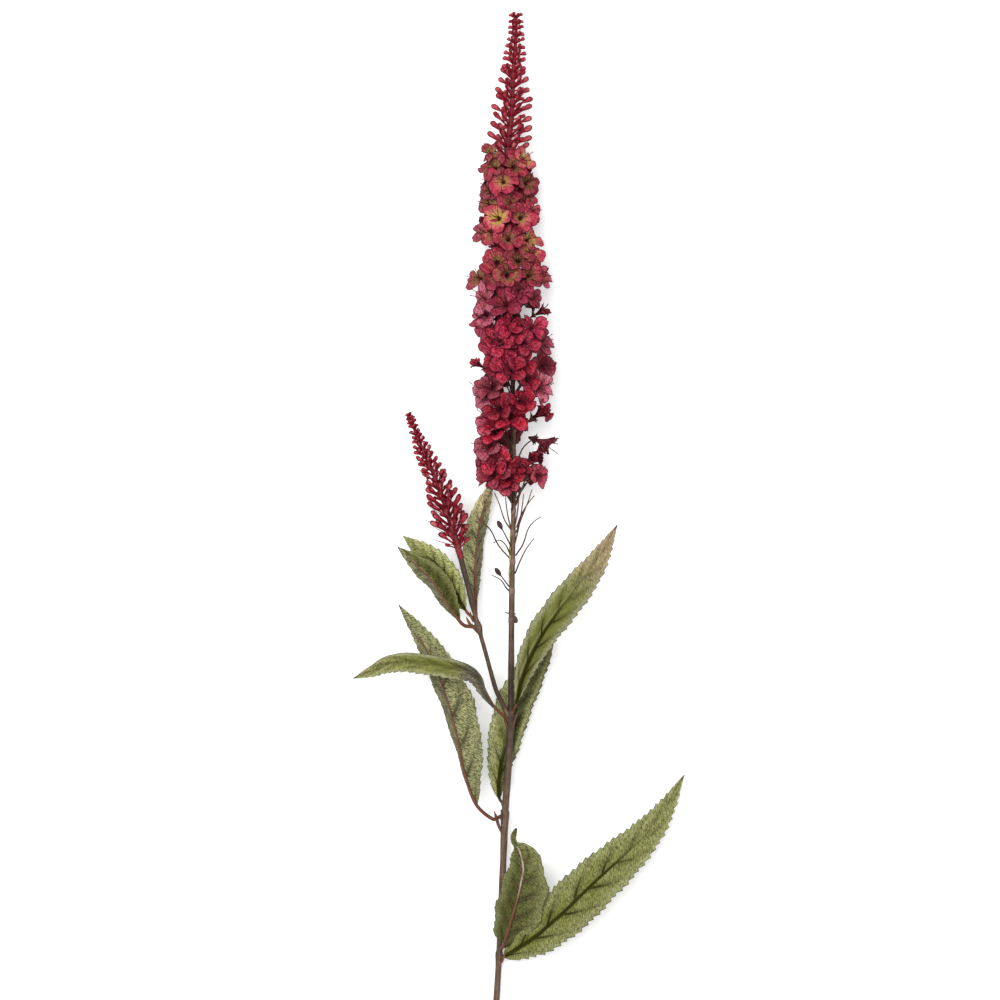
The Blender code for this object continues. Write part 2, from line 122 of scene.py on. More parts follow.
# The lowest and the highest flower tier set the sizes of those between.
FLORET_RADIUS = (12.5, 9.8)
FLORET_DEPTH = (8.5, 7.5)
FLORET_RISE = 30.0
RISE_SWING = 5
# A pedicel leaves the stem this far below its tier, and its cup sits this far above it.
PEDICEL_DROP = 12
PEDICEL_RISE = 9.5
RING_LENGTH = 5.0
RING_WALL = 0.3
# Tiers by number from 0: those without small inner florets, and those with two in place of three.
BARE_TIERS = (0, 1, 2, 4)
OPEN_TIERS = (5, 6, 7)
INNER_BEARINGS = (70, 115, 158)
# How much of the upper florets' salmon and gold, and of magenta, a tier has, by its number from 0.
BLOOM_TIERS = ((7, 0), (9, 0.6), (10, 1))
MAGENTA_TIERS = ((4, 0), (7, 0.5), (8, 1), (9, 0.2))
# Thicknesses against a floret's radius.
PETAL_THICKNESS = 0.02
CUP_THICKNESS = 0.03
# What the master florets, open and half closed, and the master cups are drawn from.
OPEN_SEEDS = (0, 1, 2, 3, 4, 5)
CLOSED_SEEDS = (7, 8)
CUP_SEEDS = (0, 1, 2)
# A stamen along its reach, up to the swollen anther.
STAMEN_SHARES = (0.12, 0.4, 0.7, 0.92, 0.96, 1.0, 1.03)
STAMEN_RADII = (0.27, 0.27, 0.24, 0.22, 0.36, 0.36, 0.1)
STAMEN_TONES = (0.9, 0.8, 0.5, 0.2, 0.0, 0.0, 0.0)

# How dark the stems are along their height, and below 0 how bleached.
STEM_SHADES = (
    (0, 0.05), (55, 0.15), (66, 0.5), (110, 0.35), (126, 0.3), (128, -0.5), (130, 0.25), (180, 0.3),
    (230, 0.6), (262, 0.9), (290, 0.9), (304, 0.45), (335, 0.34), (400, 0.18), (460, 0.05), (560, 0.5),
    (694, 0.5),
)
SIDE_SHADES = ((262, 0.8), (300, 0.45), (330, 0.35), (350, 0.75), (390, 0.8))
# Rubbed strips along the left of the main stem: from one height to another, and how far they stand out.
OCHRE_STRIPS = ((362, 376, 1.0), (378, 395, 1.15), (396, 403, 0.8))
STRIP_SIDE = Vector((-0.98, 0, 0.35))
STRIP_POINTS = 9
# Small pointed bracts and the wedges below the joints: stem, points, radii and tone.
BRACT_POINTS = 7
BRACTS = (
    ("main", ((-8.2, 160, 12.5), (-10.4, 166, 13.6), (-12.0, 171, 15)), (0.5, 1.2, 1.4), 0.3),
    ("main", ((-11.6, 171.5, 15.5), (-13.0, 175, 17), (-14.2, 179, 18)), (1.2, 1.1, 0.3), 0.8),
    ("main", ((-8.6, 172, 16), (-8.4, 176, 17.6), (-8.9, 180.5, 18)), (1.0, 0.8, 0.3), 1.0),
    ("main", ((-3.8, 246, 20), (-5.2, 251, 21.4), (-6.6, 255, 22.4)), (0.8, 1.1, 0.4), 0.6),
    ("main", ((0.6, 246, 20), (2.2, 252, 22), (4.2, 258, 23.6)), (0.8, 1.0, 0.4), 0.7),
    ("main", ((-10.2, 57, 7.5), (-10.0, 62, 9.2), (-10.4, 67, 10)), (0.9, 1.0, 0.4), 0.35),
    ("main", ((-8.2, 56, 7.5), (-6.4, 61, 8.8), (-4.6, 66, 9.6)), (0.9, 1.0, 0.4), 0.5),
    ("side", ((-27.6, 322, 27), (-30, 325.5, 28.2), (-32.6, 328.5, 29.5)), (0.5, 1.2, 1.4), 0.35),
    ("side", ((-32.6, 328, 30), (-34.6, 331, 31.5), (-36.4, 335, 32)), (1.2, 1.1, 0.3), 0.7),
    ("side", ((-30.6, 331, 29.5), (-32.4, 335, 30.5), (-33.2, 339, 30.5)), (1.0, 1.0, 0.3), 0.9),
)

# How far each tier's florets stand out from the stem, by the tier's number counted from 0.
FLORET_STANDOFF = (
    (0, 18.5), (4, 20), (5, 24.5), (6, 21), (7, 20), (8, 22), (9, 23), (11, 17), (15, 12.5),
)

# Each tier's height on the stem and its florets: bearing (0 points right, 90 up), how far its mouth is
# shifted along the stem, size against the tier's own, and mood, from -1 (plum and half closed) to 1
# (pale pink, painted as light through thin petals).
FLOWER_TIERS = (
    (435, ((48, 14, 0.7, -0.6), (100, 2, 1.05, 0.1), (136, 4, 1.2, 0.3), (112, -5, 0.95, 0.3),
           (8, 1, 0.85, 0.4), (190, 0, 0.95, 0.5), (300, 4, 0.8, -0.3))),
    (451, ((20, 2, 0.72, -0.7), (74, -7, 0.85, 0.1), (188, 0, 1.05, 0.5), (322, -4, 0.8, -0.6),
           (136, -3, 1.1, 0.1))),
    (467, ((16, 1, 1.25, -1), (161, -6, 1.2, 0.6), (138, 4, 1.15, 0), (226, 0, 1.0, 0),
           (262, 0, 0.85, -0.3))),
    (485, ((24, 1, 1.2, -0.8), (98, -1, 1.35, 0), (155, -6, 1.15, 0.4), (126, 2, 1.1, 0),
           (195, 0, 1.0, 0.5), (70, 8, 0.95, 0), (250, 0, 1.0, 0))),
    (507, ((148, 0, 1.15, 0.5), (52, 8, 0.95, 0.2), (12, -1, 1.2, 0.9), (172, -4, 1.2, 0.9),
           (222, 0, 1.0, 0), (300, 6, 0.9, 0))),
    (523, ((96, -3, 1.35, 0), (74, 0, 1.15, 0), (122, 3, 1.1, 0), (350, 0, 1.0, 0.4),
           (168, 3, 0.8, -0.5), (268, 0, 1.0, 0))),
    (545, ((118, 0, 1.25, 0), (0, 0, 1.15, 0.5), (60, 0, 1.1, 0), (136, -5, 1.15, 0.3),
           (88, 3, 1.0, -0.2), (226, 0, 1.0, 0), (312, 0, 1.0, 0))),
    (559, ((164, 5, 1.15, 0.6), (5, 8, 0.9, -0.7), (33, -4, 1.1, 0.2), (95, -5, 1.1, 0),
           (182, 0, 1.0, 0.3), (272, 0, 1.0, 0))),
    (575, ((158, 1, 1.2, 0.7), (101, -4, 1.5, 0.15), (69, 7, 1.15, 0.1), (38, 5, 1.0, 0.2),
           (232, 0, 1.0, 0), (318, 0, 1.0, 0))),
    (596, ((96, -2, 1.2, 0), (47, -1, 1.05, -0.1), (124, -3, 1.1, 0.2), (0, 0, 1.0, 0.5),
           (176, 0, 1.1, 0.4), (272, 0, 1.0, 0))),
    (610, ((124, -2, 1.25, 0), (69, -4, 1.25, 0), (36, 1, 1.1, 0), (232, 0, 1.0, 0),
           (320, 0, 1.0, 0))),
    (628, ((93, -3, 1.3, 0), (32, -5, 1.15, 0), (170, 0, 1.05, 0.4), (143, 2, 1.05, 0.1),
           (272, 0, 1.0, 0))),
    (642, ((122, -1, 1.3, 0), (51, -2, 1.25, 0), (222, 0, 1.0, 0), (312, 0, 1.0, 0))),
    (656, ((84, -1, 1.3, 0), (0, -9, 1.1, 0.2), (166, -3, 1.05, 0.3), (348, 2, 1.0, 0.2),
           (262, 0, 1.0, 0))),
    (671, ((106, -2, 1.3, 0), (0, 0, 1.1, -0.2), (170, -4, 1.0, 0.4), (214, 0, 1.0, 0),
           (300, 0, 1.0, 0))),
    (685, ((144, 0, 1.3, 0), (64, -2, 1.3, 0), (22, 6, 1.1, 0.2), (164, 7, 0.95, 0),
           (236, 0, 1.0, 0), (322, 0, 1.0, 0))),
)

# The rings below the flowers: height, and the stalks that leave there as points and the length of the
# bud at the end. A bud of 0 is a bare thread, and -1 an open star of sepals.
STALK_TIERS = (
    (334, (
        ((1, 5.2, 1), (2.4, 5.2, 1), (3.7, 4.8, 1), 0),
        ((-1, 5.4, 1), (-2.4, 5.6, 1), (-5.6, 6.2, 1), 0),
    )),
    (356, (
        ((-2, 0, 1), (-4.5, 2.5, 2), (-9, 9, 4), (-16.5, 13, 4), 0),
        ((-2, 3.5, 1), (-4, 6, 4), (-8.5, 12, 7), 9),
        ((2.5, 14, 1), (6.5, 24, 3), (11.5, 34, 6), (17.5, 42, 8), 0),
    )),
    (378, (
        ((-1.5, 2, 0), (-7, 8, 4), (-12, 14.5, 7), (-17.5, 25.5, 9), (-24, 32, 9), -1),
        ((-1.5, 5, 1), (-5.5, 13.5, 6), (-10.5, 17.5, 9), (-15.5, 15, 10), 0),
        ((-1, 12, 1), (-4, 18, 5), (-8, 25.5, 8), 9),
        ((2.5, 5, 0), (8.5, 14.5, 3), (12.5, 26.5, 6), (18, 33, 8), (22.8, 36, 9), 0),
        ((2, 15, 0), (4.8, 27, 4), (7.2, 41, 7), (8.8, 54, 9), 0),
    )),
    (403, (
        ((-1.6, 2, 1), (-7, 10.5, 5), (-11, 22.5, 8), (-15, 32, 10), 0),
        ((-1.6, 2.5, 0), (-4.4, 14.5, 4), (-6.4, 30, 7), 0),
        ((2.4, 0, 1), (7.2, 13, 5), (12, 25, 8), (15, 34.5, 9), 0),
        ((2.8, 4, 0), (6.4, 14, 4), (12, 23.5, 6), (17, 29.5, 7), 0),
        ((1, 3, 2), (3.4, 16, 6), (4.6, 31, 9), 6),
    )),
    (420, (
        ((-1, 6, 1), (-4, 10, 4), (-8, 17, 7), 0),
        ((2.4, 10, 1), (8, 18, 5), (13.5, 26, 8), 0),
        ((1.8, 4, 2), (5.5, 14, 6), (9, 24, 8), 5),
    )),
)
# Each ring's own tone and shade, the lowest ring first.
STALK_TONES = (0.5, 0.2, 0.45, 0.8, 0.9)
STALK_SHADES = (0.5, 0.8, 0.62, 0.42, 0.37)


class Leaf(NamedTuple):
    """A leaf on its petiole. Pairs go with the left and the right half of its blade, and threes with
    its base, middle and tip."""

    stem: str
    height: float
    spine: tuple
    widths: tuple  # each half's greatest width
    fold: tuple  # how far the halves fold up, in degrees
    roll: tuple  # how far the face turns sideways, in degrees
    widest: tuple  # where each half is widest, as a share of the blade
    rib_on_top: bool = False  # the rib is glued to the side that shows
    petiole: float = 0.0  # the petiole's share of the spine
    heart: float = 0.7  # lower for a broad rounded base
    blunt: float = 0.95  # lower for a rounded tip
    tail: float = 0.0  # the share of the blade that is a narrow tail
    wavy: float = 0.025  # how much the width swings
    teeth: tuple = (0.6, 0.6)  # how deep the serration is
    # Painted shade in the hollow along the rib: how far it runs towards the tip.
    hollow_shade_reach: float = 0.62  # how far the hollow along the rib runs towards the tip
    # Painted light and shade: how much lighter or darker each half is painted, for how light falls on it.
    light: tuple = (0.0, 0.0)  # how much lighter than usual
    # Greyer where a turned base shows its back, and as painted shade on some halves turned away from the
    # light.
    grey: tuple = (0.0, 0.0)  # how much greyer
    blush: float = 0.0  # how red the tip is
    turned: float = 0.0  # the share of its base that is turned over
    # This also sets the painted highlight on the crease beside the rib.
    olive_band_and_highlight: tuple = (0.0, 0.0)  # how smooth and olive in the middle
    # Painted highlights and shade along folds of the blade: place across it, width and how much lighter.
    fold_light: tuple = ()  # folds along the blade: place across it, width and how much lighter


LEAVES = {
    "low_right": Leaf(
        "main", 59,
        (
            (2, 66, 9.5), (20, 79, 15), (43, 100, 20.5), (64, 121, 23),
            (83.5, 138.5, 21.5), (103.5, 156.5, 17), (121.5, 177.5, 9), (139, 206, -0.8),
        ),
        widths=(20, 20.5), fold=(8, 12, 10), roll=(6, 4, 0), widest=(0.35, 0.35), heart=0.58,
        teeth=(1.25, 1.25), hollow_shade_reach=0.6, light=(-0.03, -0.04),
    ),
    "low_curled": Leaf(
        "main", 62,
        (
            (-6.5, 72, 15), (-2, 88, 23.5), (3.5, 107, 29), (7.2, 124, 33),
            (8.8, 136, 35), (6, 149, 36.5), (1, 158, 35.5), (3.5, 167, 30),
        ),
        widths=(18.5, 23), fold=(22, 22, 20), roll=(10, 15, 0), widest=(0.45, 0.5), rib_on_top=True,
        heart=0.42, blunt=0.6, tail=0.13, wavy=0.07, teeth=(0.7, 0.5), light=(-0.32, -0.24),
        grey=(0.1, 0),
    ),
    "mid_left": Leaf(
        "main", 172,
        (
            (-16, 172.5, 15.5), (-29, 185, 21), (-38, 210, 26), (-44, 240, 28.5),
            (-54, 275, 28.5), (-70, 311, 23), (-91, 344, 14),
        ),
        widths=(17, 19.5), fold=(36, 35, 25), roll=(46, 34, 12), widest=(0.4, 0.4), rib_on_top=True,
        petiole=0.12, teeth=(0.8, 0.8), light=(0.06, 0.02), grey=(0.75, 0.0),
    ),
    "mid_behind": Leaf(
        "main", 178,
        (
            (-10.2, 189, 7), (-10, 205, 5.5), (-6.4, 226, 5), (-1.6, 247, 5),
            (4.5, 269, 5.5), (15, 290, 5.5), (26, 306, 5.2), (33, 315, 4.5),
        ),
        widths=(16.5, 15.5), fold=(20, 22, 20), roll=(4, 4, 0), widest=(0.5, 0.62), petiole=0.03,
        blunt=0.7, teeth=(0.9, 0.9), hollow_shade_reach=0.3, light=(0.62, -0.38), grey=(0.4, 0.2),
        fold_light=((0.46, 0.13, -0.3), (0.8, 0.12, 0.7)),
    ),
    "high_left": Leaf(
        "main", 252,
        (
            (-9.5, 258.5, 26), (-14.5, 264, 31), (-20.6, 275, 36.5), (-26, 287, 40), (-36, 294, 42),
            (-55, 296.5, 41), (-75, 298.8, 37), (-94, 298.5, 29), (-112, 291, 15.5), (-127.4, 284.3, 0),
        ),
        widths=(10.5, 10.5), fold=(30, 42, 25), roll=(70, 0, 0), widest=(0.45, 0.45), petiole=0.1,
        heart=0.88, teeth=(0.8, 0.1), hollow_shade_reach=0.0, light=(0.06, 0.02), blush=0.1, turned=0.36,
        olive_band_and_highlight=(0.35, 0.6),
    ),
    "high_right": Leaf(
        "main", 256,
        ((3.5, 266, 26), (10, 291, 33), (23.5, 320, 37.5), (44, 349, 36.5), (66, 378, 31), (84, 408, 22)),
        widths=(14.6, 14.4), fold=(32, 26, 20), roll=(0, 0, 0), widest=(0.45, 0.56), petiole=0.04,
        heart=0.8, teeth=(0.85, 0.95), hollow_shade_reach=0.5, light=(-0.1, -0.2), blush=0.9, olive_band_and_highlight=(0.8, 0.7),
    ),
    "side_front": Leaf(
        "side", 326,
        (
            (-38.6, 328.5, 31.5), (-46, 337.5, 36), (-54, 349, 39),
            (-63, 363, 40), (-76, 376, 37), (-91, 390.5, 31),
        ),
        widths=(12, 14), fold=(45, 46, 25), roll=(10, 18, 4), widest=(0.42, 0.42), rib_on_top=True,
        petiole=0.14, teeth=(0.7, 0.6), light=(0.14, -0.3), grey=(0.85, 0.0),
    ),
    "side_back": Leaf(
        "side", 330,
        ((-37, 340, 26), (-46, 356, 25), (-58, 374, 23), (-72, 387, 19), (-87, 399, 13)),
        widths=(12.5, 12.5), fold=(22, 22, 15), roll=(6, 6, 0), widest=(0.4, 0.4), petiole=0.1,
        teeth=(0.7, 1.0), light=(-0.04, 0.36),
    ),
    "side_right": Leaf(
        "side", 336,
        (
            (-29, 350, 19), (-29.5, 371, 18), (-28, 392, 17),
            (-25, 413, 15.5), (-19, 433, 12.5), (-14, 444, 9),
        ),
        widths=(12, 10.5), fold=(35, 42, 25), roll=(-12, -18, 0), widest=(0.48, 0.48), rib_on_top=True,
        petiole=0.08, teeth=(0.6, 0.7), light=(0.66, 0.2), grey=(0.05, 0.8), blush=0.4,
    ),
}
# A blade reaches at least this far from its rib, at its base and at its tip, and its cloth is this thick.
BLADE_END_WIDTHS = (0.9, 0.4)
BLADE_CLOTH = 0.35
# A blade's quads lie this far apart along it, with this many points across.
BLADE_ROW = 1.15
BLADE_COLUMNS = 23
TAIL_WIDTH = 2.4
# A rib's radii at its petiole and from half way on, against which one that shows is thicker.
RIB_RADII = (1.25, 0.65)
TOP_RIB = 1.25
RIB_END = 0.86
RIB_STEPS = 90
# The bosses for the petioles: how far they stand out of a stem, their radius and the side stem's own.
STUB_REACH = 3.0
STUB_RADIUS = 1.7
SIDE_STUB_START = 2.0
SPINE_STEPS = 241

# How far the buds lean out, in degrees: their swing, and how much less when crowded and at the tip.
BUD_LEAN = 55.0
LEAN_SWING = 6
CROWDED_LEAN = 14
TIP_LEAN = 12
SOCKET_DEPTH = 6.0
SPIKE_POINTS = 90
# Each master bud's bend, and how full its end is.
BUD_SHAPES = ((-0.2, 1.0), (0.2, 0.95), (-0.5, 1.02))


class Spike(NamedTuple):
    """A spike of buds. Its core's radii and its buds' lengths go by the share of its length, and a
    crowded one has closer whorls and steeper buds."""

    line: tuple
    core: tuple
    buds: tuple
    seed: int
    crowded: int


SPIKES = {
    "tip": Spike(
        TIP_SPIKE,
        ((0, 2.8), (0.4, 2.1), (0.8, 1.6), (1, 1.1)),
        ((0, 20.5), (0.17, 19.5), (0.33, 17.5), (0.47, 15), (0.61, 11.4), (0.78, 8.2), (1, 5.6)),
        seed=21, crowded=0,
    ),
    "side": Spike(
        SIDE_SPIKE,
        ((0, 2.6), (0.1, 2.8), (0.25, 2.1), (0.7, 1.6), (1, 0.9)),
        (
            (0, 17), (0.12, 21), (0.27, 20), (0.43, 15), (0.55, 12), (0.69, 10), (0.82, 6.4),
            (0.94, 4.8), (1, 4),
        ),
        seed=22, crowded=1,
    ),
}

# The cloth's print: threads by angle and weight, specks and blotches. Their middle makes a mask of 0.5.
THREADS_PER_METRE = 1250.0
THREAD_WEIGHTS = ((-42, 2.2), (38, 0.8))
THREAD_STRETCH = (1.0, 0.24, 1.0)
SPECK_WEIGHT = 0.6
BLOTCH_WEIGHT = 0.45
CLOTH_MIDDLE = (SPECK_WEIGHT + BLOTCH_WEIGHT + sum(weight for _, weight in THREAD_WEIGHTS)) / 2 - 0.5
SCRATCH_STRETCH = (1.0, 0.06, 1.0)
# How far side veins run forward on their way to the margin, as a share of the blade, and how they bend.
VEIN_SLANT = 0.17
VEIN_BEND = 1.25
# The painted shade along the rib's hollow: its half width at the base and at the tip, in metres.
HOLLOW_HALF_WIDTHS = (0.0021, 0.0006)

# The leaf cloth's darkest and palest threads against its colour, and its other colours, in pairs from
# dark to pale threads.
FRONT_THREADS = (0.52, 1.46)
BACK_THREADS = (0.35, 1.62)
PALEST_THREAD_LIFT = 0.008
BACK_RIDGES = (0.36, 0.38, 0.20)
# Painted shade for the backs' shaded halves, near the rib and near the rim:
OLIVE_NEAR_RIB = ((0.068, 0.075, 0.010), (0.122, 0.130, 0.026))
OLIVE_NEAR_RIM = ((0.17, 0.18, 0.055), (0.30, 0.31, 0.125))
OLIVE_PRINT = ((0.095, 0.106, 0.012), (0.21, 0.224, 0.05))
SILVER_MARGIN = (0.38, 0.41, 0.25)
SATIN_OLIVE = ((0.125, 0.12, 0.03), (0.185, 0.197, 0.042))
SATIN_MARGIN = (0.40, 0.40, 0.26)
# A painted highlight on the crease beside the rib.
CREASE_HIGHLIGHT = (0.36, 0.36, 0.2)
GREYED = ((0.045, 0.040, 0.029), (0.20, 0.178, 0.130))
MARGIN_DYE = (0.04, 0.042, 0.022)
DRIED_TIP = (0.06, 0.045, 0.04)
CUT_EDGE = ((0.045, 0.05, 0.025), (0.12, 0.12, 0.06))
# The petals' colours beside those of the settings.
BRIGHT_CRIMSON = (0.42, 0.006, 0.024)
THROAT = (0.11, 0.012, 0.005)
SALMON_FLECKS = (0.62, 0.175, 0.15)
MAGENTA = (0.43, 0.020, 0.082)
# PALE_PINK is painted light through thin petals.
PALE_PINK = (0.60, 0.19, 0.26)
PLUM_PETAL = (0.15, 0.008, 0.022)
# A painted highlight for glints and pale lines on the petals.
PETAL_GLINT = (0.70, 0.24, 0.30)
PETAL_RIM = (0.075, 0.004, 0.013)
# The moulded parts' colours beside those of the settings. Skins go from dark to pale, then warm.
BLACKENED = (0.012, 0.013, 0.009)
BLEACHED = ((0.26, 0.17, 0.12), (0.58, 0.48, 0.40))
# A painted highlight for the buds' round ends, then painted shade between buds and along their sides.
BUD_END_HIGHLIGHT = ((0.45, 0.040, 0.060), (0.66, 0.18, 0.20))
BUD_SHADE = (0.075, 0.003, 0.008)
WARM_BARK = (0.145, 0.040, 0.020)
WARM_STALK = (0.20, 0.035, 0.028)
WARM_CORE = (0.28, 0.019, 0.036)
OCHRE_SKIN = ((0.20, 0.17, 0.055), (0.50, 0.45, 0.22), (0.30, 0.12, 0.04))
RIB_SKIN = ((0.12, 0.07, 0.03), (0.26, 0.15, 0.08))
BARE_STALK_SKIN = ((0.13, 0.06, 0.05), (0.27, 0.12, 0.06))
# How much of the buds' raspberry the dark and the pale of a spike's core take.
CORE_SHARES = (0.28, 0.7)

# The stage in metres. The floor glows from one level to another between two distances, and each lamp
# has a place, a size and a share of the key's power.
FLOOR_REACH = 3.0
FLOOR_GLOW = (0.7, 1.8, 0.3, 0.95)
LAMPS = (("key", (-0.7, 0.6, 2.2), 1.7, 1.0), ("fill", (1.2, -0.8, 1.8), 1.8, 0.25))
# The picture spans this much at the height of the flowers' middle. Its own middle is in the spray's
# millimetres, and the camera's sensor too is in millimetres.
PICTURE_SPAN = 0.8
FLOWER_MIDDLE = 0.020
PICTURE_CENTRE = (-9.6, 428, 0)
SENSOR = 36.0


def colour_property(name, description, default):
    return bpy.props.FloatVectorProperty(
        name=name, description=description, default=default, size=3, min=0, max=1, subtype="COLOR"
    )


def length_property(name, description, default_mm):
    return bpy.props.FloatProperty(
        name=name, description=description, default=default_mm * MM, min=0, unit="LENGTH"
    )


class LeafSettings(bpy.types.PropertyGroup):
    """Sizes and colours of the cloth leaves and their moulded ribs."""

    tooth_pitch: length_property("Tooth pitch", "Distance from tooth to tooth along a margin", 6.6)
    tooth_depth: length_property("Tooth depth", "How far a tooth stands out", 1.9)
    vein_count: bpy.props.IntProperty(
        name="Side veins", description="Side veins on each half of a blade", default=7, min=2, max=20
    )
    green: colour_property("Green", "Cloth in its mid tone", (0.215, 0.222, 0.078))
    pale_green: colour_property("Pale green", "Lighter threads and leaf tips", (0.43, 0.445, 0.19))
    # Painted shade in the veins and in the hollow along the rib.
    vein_and_hollow_shade: colour_property("Deep green", "Veins and the hollow along the rib", (0.026, 0.026, 0.001))
    back: colour_property("Back", "Cloth of the undersides", (0.215, 0.215, 0.098))
    blush: colour_property("Blush", "Reddened leaf tips", (0.58, 0.405, 0.265))
    rib: colour_property("Rib", "Moulded ribs and petioles", (0.165, 0.045, 0.020))


class FlowerSettings(bpy.types.PropertyGroup):
    """Sizes and colours of the florets, buds and stalks."""

    crimson: colour_property("Crimson", "Petals of the lower florets", (0.34, 0.006, 0.029))
    rose: colour_property("Rose", "Petal rims of the upper florets", (0.37, 0.006, 0.036))
    salmon: colour_property("Salmon", "Half way up the petals of the upper florets", (0.62, 0.195, 0.145))
    gold: colour_property("Gold", "Throats of the upper florets", (0.60, 0.47, 0.11))
    raspberry: colour_property("Raspberry", "Closed buds of the spikes", (0.37, 0.014, 0.036))
    plum: colour_property("Plum", "Stalks, cups and threads", (0.075, 0.022, 0.022))
    stamens: bpy.props.IntProperty(
        name="Stamens", description="Threads in each floret", default=5, min=0, max=12
    )
    buds_per_row: bpy.props.IntProperty(
        name="Buds per row", description="Buds round a spike in one row", default=6, min=4, max=12
    )


class StemSettings(bpy.types.PropertyGroup):
    """Colours of the moulded stems."""

    bark: colour_property("Bark", "Moulded stem in its mid tone", (0.092, 0.054, 0.029))
    bark_pale: colour_property("Pale bark", "Rubbed and lighter patches", (0.215, 0.140, 0.098))
    sides: bpy.props.IntProperty(
        name="Sides", description="Sides of a stem's tube", default=16, min=6, max=32
    )


class StageSettings(bpy.types.PropertyGroup):
    """The floor, the lamps and the camera."""

    floor: colour_property("Floor", "Floor under the spray", (0.96, 0.96, 0.96))
    sky: bpy.props.FloatProperty(name="Sky", description="Strength of the even light", default=0.52, min=0)
    key: bpy.props.FloatProperty(
        name="Key lamp", description="Power of the large soft lamp", default=46, min=0, unit="POWER"
    )
    lens: bpy.props.FloatProperty(
        name="Lens", description="Focal length", default=100, min=20, unit="CAMERA"
    )


def smooth_line(points, count):
    """Points evenly spaced along a smooth curve through the given ones."""
    given = [Vector(p) for p in points]
    knots = [2 * given[0] - given[1], *given, 2 * given[-1] - given[-2]]
    dense = []
    for a, b, c, d in zip(knots, knots[1:], knots[2:], knots[3:]):
        for t in np.linspace(0, 1, 16, endpoint=False):
            square = 2 * a - 5 * b + 4 * c - d
            cube = 3 * b - a - 3 * c + d
            dense.append(0.5 * (2 * b + (c - a) * t + square * t**2 + cube * t**3))
    dense = np.array([*dense, given[-1]])
    run = np.concatenate([[0], np.cumsum(np.linalg.norm(np.diff(dense, axis=0), axis=1))])
    even = np.linspace(0, run[-1], count)
    spread = [np.interp(even, run, dense[:, axis]) for axis in range(3)]
    return [Vector(p) for p in np.column_stack(spread)]


def tangents(line):
    steps = [b - a for a, b in zip(line, line[1:])]
    return [(a + b).normalized() for a, b in zip([steps[0], *steps], [*steps, steps[-1]])]


def side_and_up(tangent):
    """The level direction to the right of a tangent, and the one square to both that points up."""
    right = tangent.cross(UP).normalized()
    return right, right.cross(tangent)


def outwards(tangent, angle):
    """The direction square to a tangent at an angle: 0 is to its right and a quarter turn up."""
    right, up = side_and_up(tangent)
    return right * math.cos(angle) + up * math.sin(angle)


def place_on(stem, height):
    """The point of a stem's centre line at this height, and the direction it runs in there."""
    line = smooth_line(MAIN_STEM if stem == "main" else SIDE_STEM, STEM_PLACES)
    index = min(range(len(line)), key=lambda i: abs(line[i].y - height))
    return line[index], tangents(line)[index]


def stepwise(pairs, at):
    return float(np.interp(at, *zip(*pairs)))


def base_mid_tip(values, at):
    return float(np.interp(at, (0, 0.5, 1), values))


def part_way(ends, share):
    return ends[0] + (ends[1] - ends[0]) * share


def held(value):
    """A value kept between 0 and 1."""
    return min(1.0, max(0.0, value))


def in_frame(points):
    """The spray's millimetres as metres in the part's frame."""
    return (np.array([tuple(p) for p in points], float).reshape(-1, 3) + np.array(SPRAY_ORIGIN)) * MM


def rested(points):
    """Points that would sink below the surface lie on it, with a soft bend."""
    start, lowest = (height * MM for height in (BEND_HEIGHT, LOWEST_HEIGHT))
    low = points[:, 2] < start
    points[low, 2] = lowest + (start - lowest) * np.exp((points[low, 2] - start) / (start - lowest))
    return points


# Node trees


